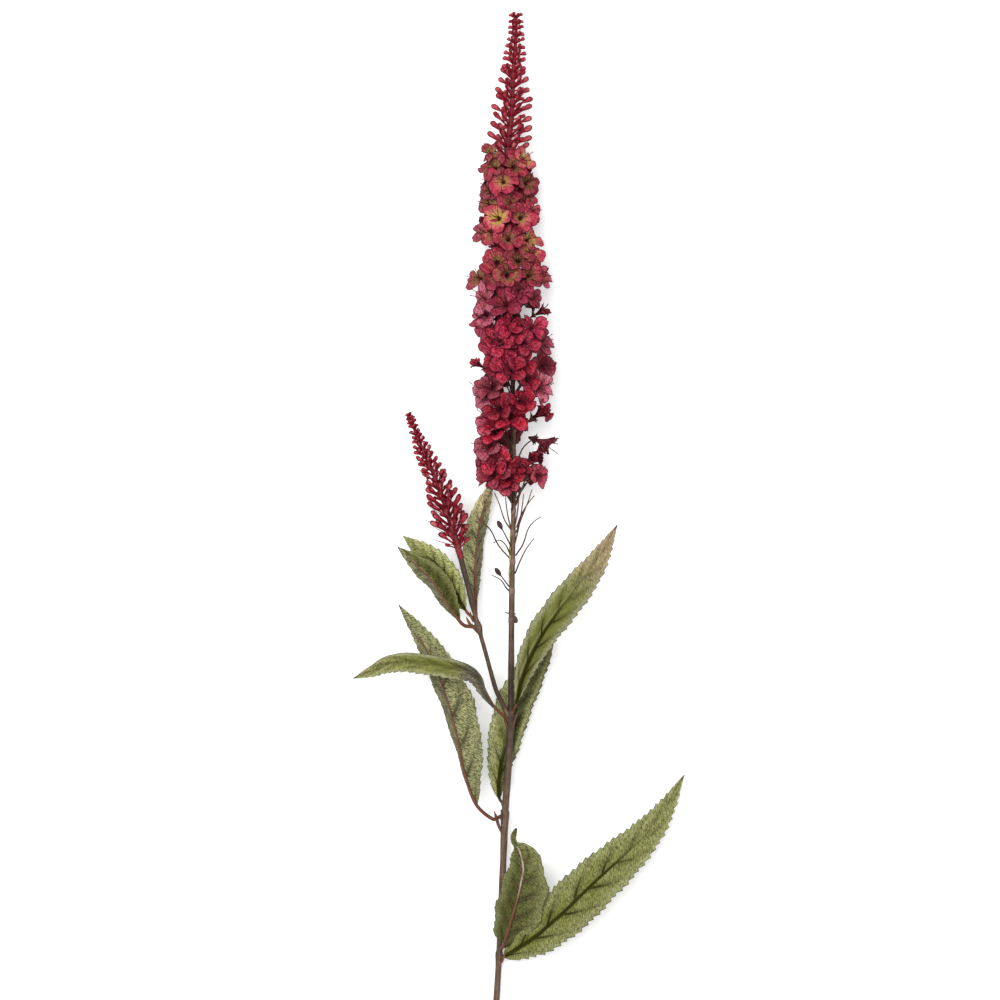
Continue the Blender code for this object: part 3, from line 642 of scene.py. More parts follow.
class Graph:
    """Adds nodes to a tree and joins them, for shaders and for Geometry Nodes."""

    def __init__(self, tree):
        self.tree = tree

    def node(self, kind, inputs=None, **settings):
        made = self.tree.nodes.new(kind)
        for name, value in settings.items():
            setattr(made, name, value)
        for name, value in (inputs or {}).items():
            self.feed(made.inputs[name], value)
        return made

    def feed(self, socket, value):
        if isinstance(value, bpy.types.NodeSocket):
            self.tree.links.new(value, socket)
        elif isinstance(value, bpy.types.Node):
            self.tree.links.new(value.outputs[0], socket)
        else:
            socket.default_value = value

    def math(self, operation, first, second=0.0):
        made = self.node("ShaderNodeMath", operation=operation)
        self.feed(made.inputs[0], first)
        self.feed(made.inputs[1], second)
        return made.outputs[0]

    def times(self, first, second):
        return self.math("MULTIPLY", first, second)

    def plus(self, first, second):
        return self.math("ADD", first, second)

    def vector(self, operation, vector, value, socket=1):
        made = self.node("ShaderNodeVectorMath", operation=operation)
        self.feed(made.inputs[0], vector)
        self.feed(made.inputs[socket], value)
        return made.outputs[0]

    def scaled(self, colour, factor):
        return self.vector("SCALE", colour, factor, "Scale")

    def ramp(self, value, low, high, out_low=0.0, out_high=1.0):
        """The value taken from low..high to out_low..out_high with soft ends."""
        names = ("Value", "From Min", "From Max", "To Min", "To Max")
        inputs = dict(zip(names, (value, low, high, out_low, out_high)))
        return self.node("ShaderNodeMapRange", inputs, interpolation_type="SMOOTHSTEP").outputs[0]

    def mix(self, factor, first, second):
        """Two colours mixed. A Mix node's colour sockets come after its number and vector ones."""
        made = self.node("ShaderNodeMix", data_type="RGBA")
        for socket, value in zip((made.inputs[0], made.inputs[6], made.inputs[7]), (factor, first, second)):
            self.feed(socket, value)
        return made.outputs[2]

    def between(self, factor, pair):
        """A colour from the first to the second of a pair."""
        return self.mix(factor, rgba(pair[0]), rgba(pair[1]))

    def attribute(self, name):
        return self.node("ShaderNodeAttribute", attribute_name=name).outputs["Fac"]

    def stored(self, name, kind):
        return self.node("GeometryNodeInputNamedAttribute", {"Name": name}, data_type=kind)

    def place(self):
        return self.node("ShaderNodeTexCoord").outputs["Object"]

    def noise(self, vector, scale, detail=2.0, roughness=0.5):
        inputs = {"Vector": vector, "Scale": scale, "Detail": detail, "Roughness": roughness}
        return self.node("ShaderNodeTexNoise", inputs).outputs["Fac"]


def rgba(colour, share=1.0):
    return (*[share * c for c in colour], 1.0)


def texture_group(name, densities):
    """A shader node group that takes a place and densities to a mask and a height, with its graph
    and the sockets to read from and to feed."""
    tree = bpy.data.node_groups.new(name, "ShaderNodeTree")
    tree.interface.new_socket("Vector", in_out="INPUT", socket_type="NodeSocketVector")
    for label, density in densities.items():
        socket = tree.interface.new_socket(label, in_out="INPUT", socket_type="NodeSocketFloat")
        socket.default_value = density
    for label in ("Mask", "Height"):
        tree.interface.new_socket(label, in_out="OUTPUT", socket_type="NodeSocketFloat")
    graph = Graph(tree)
    return tree, graph, graph.node("NodeGroupInput").outputs, graph.node("NodeGroupOutput").inputs


def cloth_group():
    """Slanting pressed threads, fine specks and soft blotches of printed cloth: a mask round 0.5 and
    a height."""
    made = bpy.data.node_groups.get("Woven cloth")
    if made:
        return made
    tree, graph, given, result = texture_group(
        "Woven cloth", {"Threads per metre": THREADS_PER_METRE, "Blotches per metre": 90.0}
    )
    vector = given["Vector"]
    pitch = given["Threads per metre"]
    mask = graph.times(graph.noise(vector, pitch, 3.0, 0.7), SPECK_WEIGHT)
    threads = []
    for degrees, weight in THREAD_WEIGHTS:
        angle = {"Vector": vector, "Angle": math.radians(degrees)}
        turned = graph.node("ShaderNodeVectorRotate", angle, rotation_type="Z_AXIS")
        threads.append(graph.noise(graph.vector("MULTIPLY", turned, THREAD_STRETCH), pitch, 2.0, 0.6))
        mask = graph.plus(mask, graph.times(threads[-1], weight))
    blotches = graph.noise(vector, given["Blotches per metre"], 3.0, 0.6)
    mask = graph.plus(mask, graph.times(blotches, BLOTCH_WEIGHT))
    graph.feed(result["Mask"], graph.math("SUBTRACT", mask, CLOTH_MIDDLE))
    graph.feed(result["Height"], graph.plus(*threads))
    return tree


def mould_group():
    """Uneven dye, fine scratches and grain of a painted moulded skin, as a mask and a height."""
    made = bpy.data.node_groups.get("Moulded skin")
    if made:
        return made
    tree, graph, given, result = texture_group(
        "Moulded skin", {"Blotches per metre": 120.0, "Grain per metre": 1400.0}
    )
    vector = given["Vector"]
    blotches = graph.noise(vector, given["Blotches per metre"], 4.0, 0.65)
    grain = graph.noise(vector, given["Grain per metre"], 2.0, 0.5)
    scratches = graph.noise(graph.vector("MULTIPLY", vector, SCRATCH_STRETCH), 1100.0, 1.0, 0.5)
    dye = graph.plus(graph.times(scratches, 0.45), graph.times(blotches, 0.8))
    graph.feed(result["Mask"], graph.ramp(dye, 0.42, 0.85))
    graph.feed(result["Height"], graph.plus(graph.times(grain, 0.5), scratches))
    return tree


def new_material(name, roughness, **constants):
    """A material with a Principled shader whose constant sockets are set, and its graph."""
    made = bpy.data.materials.new(name)
    made.use_nodes = True
    graph = Graph(made.node_tree)
    shader = made.node_tree.nodes["Principled BSDF"]
    shader.inputs["Roughness"].default_value = roughness
    for label, value in constants.items():
        shader.inputs[label.replace("_", " ")].default_value = value
    return made, graph, shader


def put_group(graph, tree, vector, **values):
    made = graph.node("ShaderNodeGroup", node_tree=tree)
    graph.feed(made.inputs["Vector"], vector)
    for label, value in values.items():
        graph.feed(made.inputs[label.replace("_", " ")], value)
    return made.outputs


def add_bump(graph, shader, height, distance, strength=1.0):
    bump = graph.node("ShaderNodeBump", {"Height": height, "Distance": distance, "Strength": strength})
    graph.feed(shader.inputs["Normal"], bump.outputs["Normal"])


def vein_masks(graph, count):
    """Masks for soft pleat lines, which get painted shade, and for fine side veins that leave the rib at a
    slant, bend forward and fade outwards.
    """
    across = graph.attribute("across")
    out = graph.math("ABSOLUTE", across)
    shift = graph.times(graph.math("POWER", out, VEIN_BEND), VEIN_SLANT)
    stagger = graph.times(graph.math("GREATER_THAN", across, 0.0), 0.5)
    slanted = graph.math("SUBTRACT", graph.attribute("along"), shift)
    phase = graph.plus(graph.times(slanted, float(count)), stagger)
    near = graph.math("ABSOLUTE", graph.math("SUBTRACT", graph.math("FRACT", phase), 0.5))
    veins = graph.times(graph.ramp(near, 0.015, 0.075, 1.0, 0.0), graph.ramp(out, 0.2, 0.62, 1.0, 0.16))
    pleat_shade = graph.times(graph.ramp(near, 0.02, 0.4, 1.0, 0.0), graph.ramp(out, 0.3, 0.95, 1.0, 0.2))
    return pleat_shade, veins


def olive_back(graph, colour, mask, out):
    """A leaf's back with pale ridges, and with smooth olive as painted shade on the halves whose light is
    low.
    """
    ridges = graph.times(graph.times(mask, mask), 0.3)
    colour = graph.mix(ridges, colour, rgba(BACK_RIDGES))
    near_rib, near_rim = (graph.between(mask, pair) for pair in (OLIVE_NEAR_RIB, OLIVE_NEAR_RIM))
    smooth = graph.mix(graph.ramp(out, 0.4, 0.92), near_rib, near_rim)
    return graph.mix(graph.ramp(graph.attribute("light"), -0.3, -0.12, 0.9, 0.0), colour, smooth)


def olive_front(graph, colour, mask, out, along, surface):
    """A leaf's front with an olive print along the rib, a silvery margin and, where it has an olive band, a
    smooth olive middle between pale margins."""
    patches = graph.ramp(graph.noise(surface, 60.0, 2.0), 0.35, 0.65)
    olive = graph.times(graph.ramp(out, 0.2, 0.8, 0.85, 0.0), patches)
    olive = graph.times(olive, graph.ramp(along, 0.5, 0.85, 1.0, 0.15))
    colour = graph.mix(olive, colour, graph.between(mask, OLIVE_PRINT))
    silver = graph.times(graph.ramp(out, 0.6, 0.95, 0.0, 0.4), mask)
    colour = graph.mix(silver, colour, rgba(SILVER_MARGIN))
    olive_band_and_highlight = graph.attribute("olive_band_and_highlight")
    middle = graph.times(graph.ramp(out, 0.45, 0.8, 1.0, 0.0), graph.ramp(along, 0.5, 0.75, 1.0, 0.0))
    smooth = graph.between(graph.ramp(along, 0.1, 0.45), SATIN_OLIVE)
    colour = graph.mix(graph.times(olive_band_and_highlight, middle), colour, smooth)
    return graph.mix(graph.times(olive_band_and_highlight, graph.ramp(out, 0.55, 0.92, 0.0, 0.5)), colour, rgba(SATIN_MARGIN))


def rib_hollow(graph, colour, veins, along, vein_and_hollow_shade):
    """Painted shade in the veins and in the hollow along the rib, with a painted highlight on the crease to
    its left where a leaf has an olive band.
    """
    half_width = graph.ramp(along, 0.0, 1.0, *HOLLOW_HALF_WIDTHS)
    beside = graph.math("DIVIDE", graph.attribute("off_rib"), half_width)
    # Painted highlight on the crease to the left of the rib.
    crease = graph.times(graph.ramp(beside, -2.4, -1.9), graph.ramp(beside, -1.5, -1.1, 1.0, 0.0))
    crease = graph.times(crease, graph.times(graph.attribute("olive_band_and_highlight"), 0.6))
    colour = graph.mix(crease, colour, rgba(CREASE_HIGHLIGHT))
    # Painted shade in the hollow along the rib and in the front's veins.
    hollow = graph.ramp(graph.math("ABSOLUTE", beside), 0.45, 1.25, 1.0, 0.0)
    hollow = graph.times(hollow, graph.ramp(graph.attribute("hollow"), 0.0, 1.0, 0.22, 1.0))
    painted_shade = graph.math("MAXIMUM", hollow, graph.times(veins, 0.9))
    return graph.mix(graph.times(painted_shade, 0.94), colour, rgba(vein_and_hollow_shade))


def leaf_material(name, settings, base, on_back):
    """Woven printed cloth with veins, a darker hollow along the rib, a silvery margin and a paler,
    blushed tip."""
    made, graph, shader = new_material(name, 0.8, Specular_IOR_Level=0.05)
    surface = graph.node("ShaderNodeUVMap", uv_map="cloth").outputs["UV"]
    cloth = put_group(graph, cloth_group(), surface)
    along = graph.attribute("along")
    out = graph.math("ABSOLUTE", graph.attribute("across"))
    mask = graph.ramp(cloth["Mask"], 0.14, 0.86)
    darkest, palest = BACK_THREADS if on_back else FRONT_THREADS
    colour = graph.mix(mask, rgba(base, darkest), rgba([palest * c + PALEST_THREAD_LIFT for c in base]))
    if on_back:
        colour = olive_back(graph, colour, mask, out)
    else:
        colour = olive_front(graph, colour, mask, out, along, surface)
    # Greyer where the back of a turned base shows, and as painted shade on halves turned away from the light.
    colour = graph.mix(graph.times(graph.attribute("grey"), 0.75), colour, graph.between(mask, GREYED))
    pale = graph.ramp(along, 0.4, 1.0, 0.0, 0.5)
    colour = graph.mix(graph.times(pale, mask), colour, rgba(settings.pale_green))
    blush = graph.times(graph.attribute("blush"), graph.ramp(along, 0.55, 0.95, 0.0, 0.75))
    blushed = graph.mix(mask, rgba(settings.blush, 0.62), rgba(settings.blush, 1.2))
    colour = graph.mix(blush, colour, blushed)
    # Painted light and shade: each half scaled lighter or darker by its light value.
    colour = graph.scaled(colour, graph.plus(graph.attribute("light"), 1.0))
    pleat_shade, veins = vein_masks(graph, settings.vein_count)
    veins = graph.times(veins, graph.attribute("hollow"))
    # Painted shade along the pleat lines and painted light between them.
    colour = graph.scaled(colour, graph.ramp(pleat_shade, 0.0, 1.0, 1.13, 0.78))
    if on_back:
        colour = graph.mix(graph.times(veins, 0.7), colour, rgba(base, 0.25))
    else:
        colour = rib_hollow(graph, colour, veins, along, settings.vein_and_hollow_shade)
    rim = graph.ramp(graph.attribute("rim"), 0.95, 1.0)
    colour = graph.mix(graph.times(rim, 0.75), colour, rgba(MARGIN_DYE))
    colour = graph.mix(graph.ramp(along, 0.965, 0.995), colour, rgba(DRIED_TIP))
    graph.feed(shader.inputs["Base Color"], colour)
    height = graph.math("SUBTRACT", cloth["Height"], graph.times(veins, 1.4))
    add_bump(graph, shader, height, 0.0009)
    return made


def edge_material():
    """The cut edge of the leaf cloth."""
    made, graph, shader = new_material("leaf_edge", 0.8)
    cloth = put_group(graph, cloth_group(), graph.place())
    colour = graph.between(graph.ramp(cloth["Mask"], 0.1, 0.9), CUT_EDGE)
    graph.feed(shader.inputs["Base Color"], colour)
    add_bump(graph, shader, cloth["Height"], 0.0002)
    return made


def moulded_material(name, dark, pale, warm, roughness=0.46):
    """Moulded plastic: blotchy dye between dark and pale, drawn towards warm by the tone, darkened
    by a shade above 0 and bleached by one below. Each tube is darker along its two sides, as painted shade."""
    made, graph, shader = new_material(name, roughness, Specular_IOR_Level=0.2)
    skin = put_group(graph, mould_group(), graph.place())
    mask = skin["Mask"]
    colour = graph.mix(mask, rgba(dark), rgba(pale))
    tone = graph.times(graph.attribute("tone"), 0.85)
    colour = graph.mix(tone, colour, graph.mix(mask, rgba(warm, 0.6), rgba(warm)))
    shade = graph.attribute("shade")
    blackened = graph.mix(0.75, colour, rgba(BLACKENED))
    colour = graph.mix(graph.ramp(shade, 0.0, 1.0), colour, blackened)
    bleach = graph.ramp(graph.times(shade, -1.0), 0.0, 1.0)
    colour = graph.mix(bleach, colour, graph.between(mask, BLEACHED))
    # Painted shade along each tube's two sides, left out where the skin is bleached.
    unbleached = graph.ramp(shade, -0.5, -0.1, 0.0, 0.75)
    seam = graph.times(graph.ramp(graph.attribute("seam"), 0.5, 0.97), unbleached)
    colour = graph.mix(seam, colour, rgba(dark, 0.3))
    graph.feed(shader.inputs["Base Color"], colour)
    rough = graph.ramp(mask, 0.0, 1.0, roughness - 0.08, roughness + 0.12)
    graph.feed(shader.inputs["Roughness"], rough)
    add_bump(graph, shader, skin["Height"], 0.00018, 0.7)
    return made


def lower_petal(graph, radial, patches, crimson):
    """Crimson darkened towards the throat as painted shade, with brighter patches."""
    colour = graph.mix(graph.ramp(radial, 0.0, 0.25), rgba(crimson, 0.2), rgba(crimson, 0.6))
    colour = graph.mix(graph.ramp(radial, 0.2, 0.75), colour, rgba(crimson))
    brighter = graph.mix(patches, colour, rgba(BRIGHT_CRIMSON))
    return graph.mix(graph.ramp(radial, 0.3, 0.6), colour, brighter)


def upper_petal(graph, radial, patches, tone, settings):
    """A gold throat, then salmon and rose, each reaching further on some florets than on others."""
    chance = graph.math("FRACT", graph.times(tone, 13.0))
    reach = graph.plus(radial, graph.ramp(chance, 0.0, 1.0, -0.12, 0.2))
    colour = graph.mix(graph.ramp(radial, 0.02, 0.15), rgba(THROAT), rgba(settings.gold))
    colour = graph.mix(graph.ramp(reach, 0.28, 0.56), colour, rgba(settings.salmon))
    colour = graph.mix(graph.ramp(reach, 0.5, 0.86), colour, rgba(settings.rose))
    flecks = graph.times(patches, graph.ramp(radial, 0.35, 0.6, 0.0, 0.25))
    return graph.mix(flecks, colour, rgba(SALMON_FLECKS))


def petal_level(graph, mask, tone, bloom):
    """How light a petal is: each floret's own level, painted shade on its underside, and its weave."""
    own = graph.ramp(graph.math("FRACT", graph.times(tone, 7.0)), 0.0, 1.0, 0.6, 1.24)
    # Painted shade on the undersides.
    under = graph.ramp(graph.attribute("under"), 0.0, 1.0, 1.0, 0.5)
    darkest = graph.ramp(bloom, 0.0, 1.0, 0.56, 0.82)
    palest = graph.ramp(bloom, 0.0, 1.0, 1.52, 1.22)
    return graph.times(graph.times(own, under), graph.ramp(mask, 0.0, 1.0, darkest, palest))


def petal_lines(graph, radial, tone):
    """0 on the fine veins that run out along a petal, and 1 between them."""
    streaks = graph.node("ShaderNodeCombineXYZ")
    graph.feed(streaks.inputs["X"], graph.times(graph.attribute("across"), 4.6))
    graph.feed(streaks.inputs["Y"], graph.times(radial, 1.3))
    graph.feed(streaks.inputs["Z"], graph.times(tone, 9.0))
    return graph.ramp(graph.noise(streaks, 1.0, 3.0, 0.7), 0.36, 0.58)


def petal_material(settings):
    """Thin pressed petal cloth: crimson below, rose with salmon and a gold throat above, veined, with painted
    highlights on its weave and near its ends, and dark at its cut rim. Mood drives it to plum or to a
    pale pink painted as light through the thin cloth."""
    made, graph, shader = new_material("petal_cloth", 0.68, Specular_IOR_Level=0.06)
    radial, bloom, tone, mood = (graph.attribute(name) for name in ("radial", "bloom", "tone", "mood"))
    surface = graph.place()
    cloth = put_group(graph, cloth_group(), surface, Blotches_per_metre=200.0)
    mask = graph.ramp(cloth["Mask"], 0.15, 0.85)
    patches = graph.ramp(graph.noise(surface, 170.0, 2.0), 0.38, 0.62)
    low = lower_petal(graph, radial, patches, settings.crimson)
    high = upper_petal(graph, radial, patches, tone, settings)
    colour = graph.mix(bloom, low, high)
    colour = graph.mix(graph.times(graph.attribute("magenta"), 0.7), colour, rgba(MAGENTA))
    # Painted light: the pale pink of light through the thin petals, on florets of positive mood.
    pale = graph.times(graph.ramp(mood, 0.0, 1.0), graph.ramp(radial, 0.25, 0.65, 0.3, 0.85))
    colour = graph.mix(pale, colour, rgba(PALE_PINK))
    plum = graph.times(graph.ramp(graph.times(mood, -1.0), 0.0, 1.0), 0.85)
    colour = graph.mix(plum, colour, rgba(PLUM_PETAL))
    colour = graph.scaled(colour, petal_level(graph, mask, tone, bloom))

    lines = petal_lines(graph, radial, tone)
    veins = graph.times(graph.math("SUBTRACT", 1.0, lines), graph.ramp(bloom, 0.0, 1.0, 0.74, 0.6))
    colour = graph.mix(veins, colour, graph.mix(0.5, colour, rgba(settings.crimson, 0.35)))
    # Painted highlights: glints on the brightest weave and pale lines near the petal ends.
    glint = graph.times(graph.math("POWER", mask, 3.0), graph.ramp(tone, 0.0, 1.0, 0.08, 0.3))
    edges = graph.times(graph.ramp(radial, 0.6, 0.93), graph.times(lines, 0.24))
    colour = graph.mix(graph.math("MAXIMUM", glint, edges), colour, rgba(PETAL_GLINT))
    rim = graph.ramp(graph.attribute("rim"), 0.82, 0.98)
    colour = graph.mix(graph.times(rim, 0.9), colour, rgba(PETAL_RIM))
    graph.feed(shader.inputs["Base Color"], colour)
    add_bump(graph, shader, graph.plus(cloth["Height"], lines), 0.0003)
    return made


def bud_material(settings):
    """Moulded raspberry buds with painted shade between them and along their sides, and painted highlights on
    their round ends.
    """
    made, graph, shader = new_material("bud_skin", 0.6, Specular_IOR_Level=0.08)
    skin = put_group(graph, mould_group(), graph.place(), Blotches_per_metre=300.0)
    colour = graph.mix(skin["Mask"], rgba(settings.raspberry, 0.45), rgba(settings.raspberry, 1.3))
    # Painted highlights on the round ends.
    spread = graph.ramp(graph.attribute("tone"), 0.0, 1.0, 0.15, 0.9)
    ends = graph.times(graph.ramp(graph.attribute("radial"), 0.5, 0.85), spread)
    colour = graph.mix(ends, colour, graph.between(skin["Mask"], BUD_END_HIGHLIGHT))
    # Painted shade between the buds, along their sides and round the end's edge.
    crease_shade = graph.ramp(graph.attribute("rim"), 0.35, 0.92)
    colour = graph.mix(graph.times(crease_shade, 0.94), colour, rgba(BUD_SHADE))
    graph.feed(shader.inputs["Base Color"], colour)
    add_bump(graph, shader, skin["Height"], 0.0003)
    return made


# Geometry Nodes: tubes along paths, and copies at points.


def geometry_tree(name, inputs):
    tree = bpy.data.node_groups.new(name, "GeometryNodeTree")
    tree.interface.new_socket("Geometry", in_out="INPUT", socket_type="NodeSocketGeometry")
    for label, kind in inputs:
        tree.interface.new_socket(label, in_out="INPUT", socket_type=kind)
    tree.interface.new_socket("Geometry", in_out="OUTPUT", socket_type="NodeSocketGeometry")
    graph = Graph(tree)
    return tree, graph, graph.node("NodeGroupInput").outputs, graph.node("NodeGroupOutput").inputs


def finish_tree(graph, result, geometry, material):
    """Every tree ends in plain geometry with its material."""
    real = graph.node("GeometryNodeRealizeInstances", {"Geometry": geometry})
    dressed = graph.node("GeometryNodeSetMaterial", {"Geometry": real, "Material": material})
    graph.feed(result["Geometry"], dressed)


def tube_tree():
    made = bpy.data.node_groups.get("Tubes along paths")
    if made:
        return made
    tree, graph, given, result = geometry_tree(
        "Tubes along paths", (("Sides", "NodeSocketInt"), ("Material", "NodeSocketMaterial"))
    )
    path = graph.node("GeometryNodeMeshToCurve", {"Mesh": given["Geometry"]})
    path = graph.node("GeometryNodeSetCurveNormal", {"Curve": path}, mode="Z_UP")
    circle = {"Resolution": given["Sides"], "Radius": 1.0}
    profile = graph.node("GeometryNodeCurvePrimitiveCircle", circle)
    place = graph.node("ShaderNodeSeparateXYZ", {"Vector": graph.node("GeometryNodeInputPosition")})
    # The profile's sideways distance marks each tube's two sides, where the material paints shade.
    seam = {"Geometry": profile, "Name": "seam", "Value": graph.math("ABSOLUTE", place.outputs["X"])}
    profile = graph.node("GeometryNodeStoreNamedAttribute", seam, data_type="FLOAT", domain="POINT")
    thickness = graph.stored("thickness", "FLOAT")
    walls = {"Curve": path, "Profile Curve": profile, "Scale": thickness, "Fill Caps": True}
    tube = graph.node("GeometryNodeCurveToMesh", walls)
    smooth = graph.node("GeometryNodeSetShadeSmooth", {"Geometry": tube})
    finish_tree(graph, result, smooth, given["Material"])
    return tree


def copies_tree():
    made = bpy.data.node_groups.get("Copies at points")
    if made:
        return made
    tree, graph, given, result = geometry_tree(
        "Copies at points", (("Masters", "NodeSocketCollection"), ("Material", "NodeSocketMaterial"))
    )
    masters = graph.node(
        "GeometryNodeCollectionInfo",
        {"Collection": given["Masters"], "Separate Children": True, "Reset Children": True},
    )
    placed = graph.node(
        "GeometryNodeInstanceOnPoints",
        {
            "Points": given["Geometry"], "Instance": masters, "Pick Instance": True,
            "Instance Index": graph.stored("kind", "INT"),
            "Rotation": graph.stored("turn", "QUATERNION"),
            "Scale": graph.stored("size", "FLOAT_VECTOR"),
        },
    )
    finish_tree(graph, result, placed, given["Material"])
    return tree


def linked(name, data):
    """An object of a mesh, a lamp or a camera, in the scene at the origin."""
    data.name = name
    made = bpy.data.objects.new(name, data)
    bpy.context.scene.collection.objects.link(made)
    return made


def plain_mesh(holder):
    """The mesh that an object's modifiers make. The object itself goes."""
    graph = bpy.context.evaluated_depsgraph_get()
    evaluated = holder.evaluated_get(graph)
    made = bpy.data.meshes.new_from_object(evaluated, preserve_all_data_layers=True, depsgraph=graph)
    bpy.data.objects.remove(holder)
    return made


def grown(name, mesh, tree, values):
    """The piece that a tree makes of a mesh, as a plain mesh at the frame's origin."""
    seed = linked("seed", mesh)
    grow = seed.modifiers.new("grow", "NODES")
    grow.node_group = tree
    for item in tree.interface.items_tree:
        if item.in_out == "INPUT" and item.name in values:
            grow[item.identifier] = values[item.name]
    plain = plain_mesh(seed)
    places = np.empty(len(plain.vertices) * 3)
    plain.vertices.foreach_get("co", places)
    plain.vertices.foreach_set("co", rested(places.reshape(-1, 3)).ravel())
    return linked(name, plain)


def set_values(mesh, name, values, kind="FLOAT"):
    layer = mesh.attributes.new(name, kind, "POINT")
    field = "vector" if kind == "FLOAT_VECTOR" else "value"
    layer.data.foreach_set(field, np.asarray(values, np.int32 if kind == "INT" else np.float32).ravel())


def pass_on(mesh, passed):
    """Stores what each point passes on to the material, given as one dictionary for each."""
    for label in passed[0]:
        set_values(mesh, label, [values[label] for values in passed])


class Paths:
    """Open lines in the spray's millimetres, each point with a radius, a tone and a shade."""

    def __init__(self):
        self.points = []
        self.edges = []
        self.radii = []
        self.tones = []
        self.shades = []

    def add(self, line, radii, tones=0.0, shades=0.0):
        first = len(self.points)
        count = len(line)
        self.points += line
        self.edges += [(first + i, first + i + 1) for i in range(count - 1)]
        self.radii += list(np.broadcast_to(radii, count))
        self.tones += list(np.broadcast_to(tones, count))
        self.shades += list(np.broadcast_to(shades, count))

    def tubes(self, name, sides, material):
        mesh = bpy.data.meshes.new("paths")
        mesh.from_pydata(in_frame(self.points), self.edges, [])
        set_values(mesh, "thickness", np.array(self.radii) * MM)
        set_values(mesh, "tone", self.tones)
        set_values(mesh, "shade", self.shades)
        return grown(name, mesh, tube_tree(), {"Sides": sides, "Material": material})


class Copies:
    """Places for copies of master shapes: where, which way, how large, which master, and the values
    that it passes on to its material."""

    def __init__(self):
        self.places = []
        self.turns = []
        self.sizes = []
        self.kinds = []
        self.passed = []

    def add(self, place, turn, size, kind=0, **passed):
        self.places.append(place)
        self.turns.append(tuple(turn))
        self.sizes.append(tuple(size))
        self.kinds.append(kind)
        self.passed.append(passed)

    def pieces(self, name, masters, material):
        mesh = bpy.data.meshes.new("places")
        mesh.from_pydata(in_frame(self.places), [], [])
        set_values(mesh, "turn", self.turns, "QUATERNION")
        set_values(mesh, "size", np.array(self.sizes) * MM, "FLOAT_VECTOR")
        set_values(mesh, "kind", self.kinds, "INT")
        pass_on(mesh, self.passed)
        return grown(name, mesh, copies_tree(), {"Masters": masters, "Material": material})


def turn_to(direction, towards):
    """The turn that takes +Z to a direction and +X as near as it can to another."""
    z = direction.normalized()
    x = (towards - z * towards.dot(z)).normalized()
    return Matrix((x, z.cross(x), z)).transposed().to_quaternion()


def grid_mesh(name, points, columns, flip=False):
    """A sheet of quads through rows of points."""
    faces = []
    for first in range(0, len(points) - columns, columns):
        for a in range(first, first + columns - 1):
            face = (a, a + 1, a + columns + 1, a + columns)
            faces.append(face[::-1] if flip else face)
    mesh = bpy.data.meshes.new(name)
    mesh.from_pydata(points, [], faces)
    mesh.shade_smooth()
    return mesh


def thickened(mesh, thickness, slots_for_back_and_rim=False):
    """The mesh of a sheet given a thickness below it, with a material of its own for back and rim."""
    holder = linked("sheet", mesh)
    wall = holder.modifiers.new("thickness", "SOLIDIFY")
    wall.thickness = thickness
    wall.offset = -1
    if slots_for_back_and_rim:
        wall.material_offset = 1
        wall.material_offset_rim = 2
    return plain_mesh(holder)


def master_collection(name, meshes):
    """The shapes that are copied, out of the scene."""
    made = bpy.data.collections.new(name)
    for index, mesh in enumerate(meshes):
        made.objects.link(bpy.data.objects.new(f"{name}_{index}", mesh))
    return made


def remove_masters(collection):
    for holder in list(collection.objects):
        bpy.data.objects.remove(holder)
    bpy.data.collections.remove(collection)


def hand_over(piece, slot, *nodes):
    """A finished piece rides on the spray and stands for its CAD nodes. The slot is not used."""
    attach(piece, "root")
    if nodes:
        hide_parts(*nodes)


# Stems


def stem_radius(height):
    """The main stem's radius with the swelling at each fork, which ends in a small step."""
    radius = stepwise(MAIN_STEM_RADII, height)
    for knot, below, thick in MAIN_KNOTS:
        if knot - 2.5 * below < height < knot + 2:
            swell = min(1, (height - knot + 2.5 * below) / (2 * below))
            radius = max(radius, radius + (thick - radius) * swell**2)
    return radius


def side_stem_radius(height):
    radius = stepwise(SIDE_STEM_RADII, height - SIDE_STEM[0][1])
    knot, below, thick = SIDE_KNOT
    if knot - 2 * below < height < knot + 3:
        swell = math.sin(math.pi * (height - knot + 2 * below) / (2 * below + 3)) ** 2
        radius = radius + (thick - radius) * swell
    return radius


def stub(leaf):
    """Where a leaf's petiole starts, and the boss's own path from the stem."""
    centre, _ = place_on(leaf.stem, leaf.height)
    away = (Vector(leaf.spine[0]) - centre).normalized()
    radius = stepwise(MAIN_STEM_RADII, centre.y) if leaf.stem == "main" else SIDE_STUB_START
    start = centre + away * (radius + STUB_REACH)
    return start, [centre.lerp(start, share) for share in (0, 0.35, 0.7, 1)]


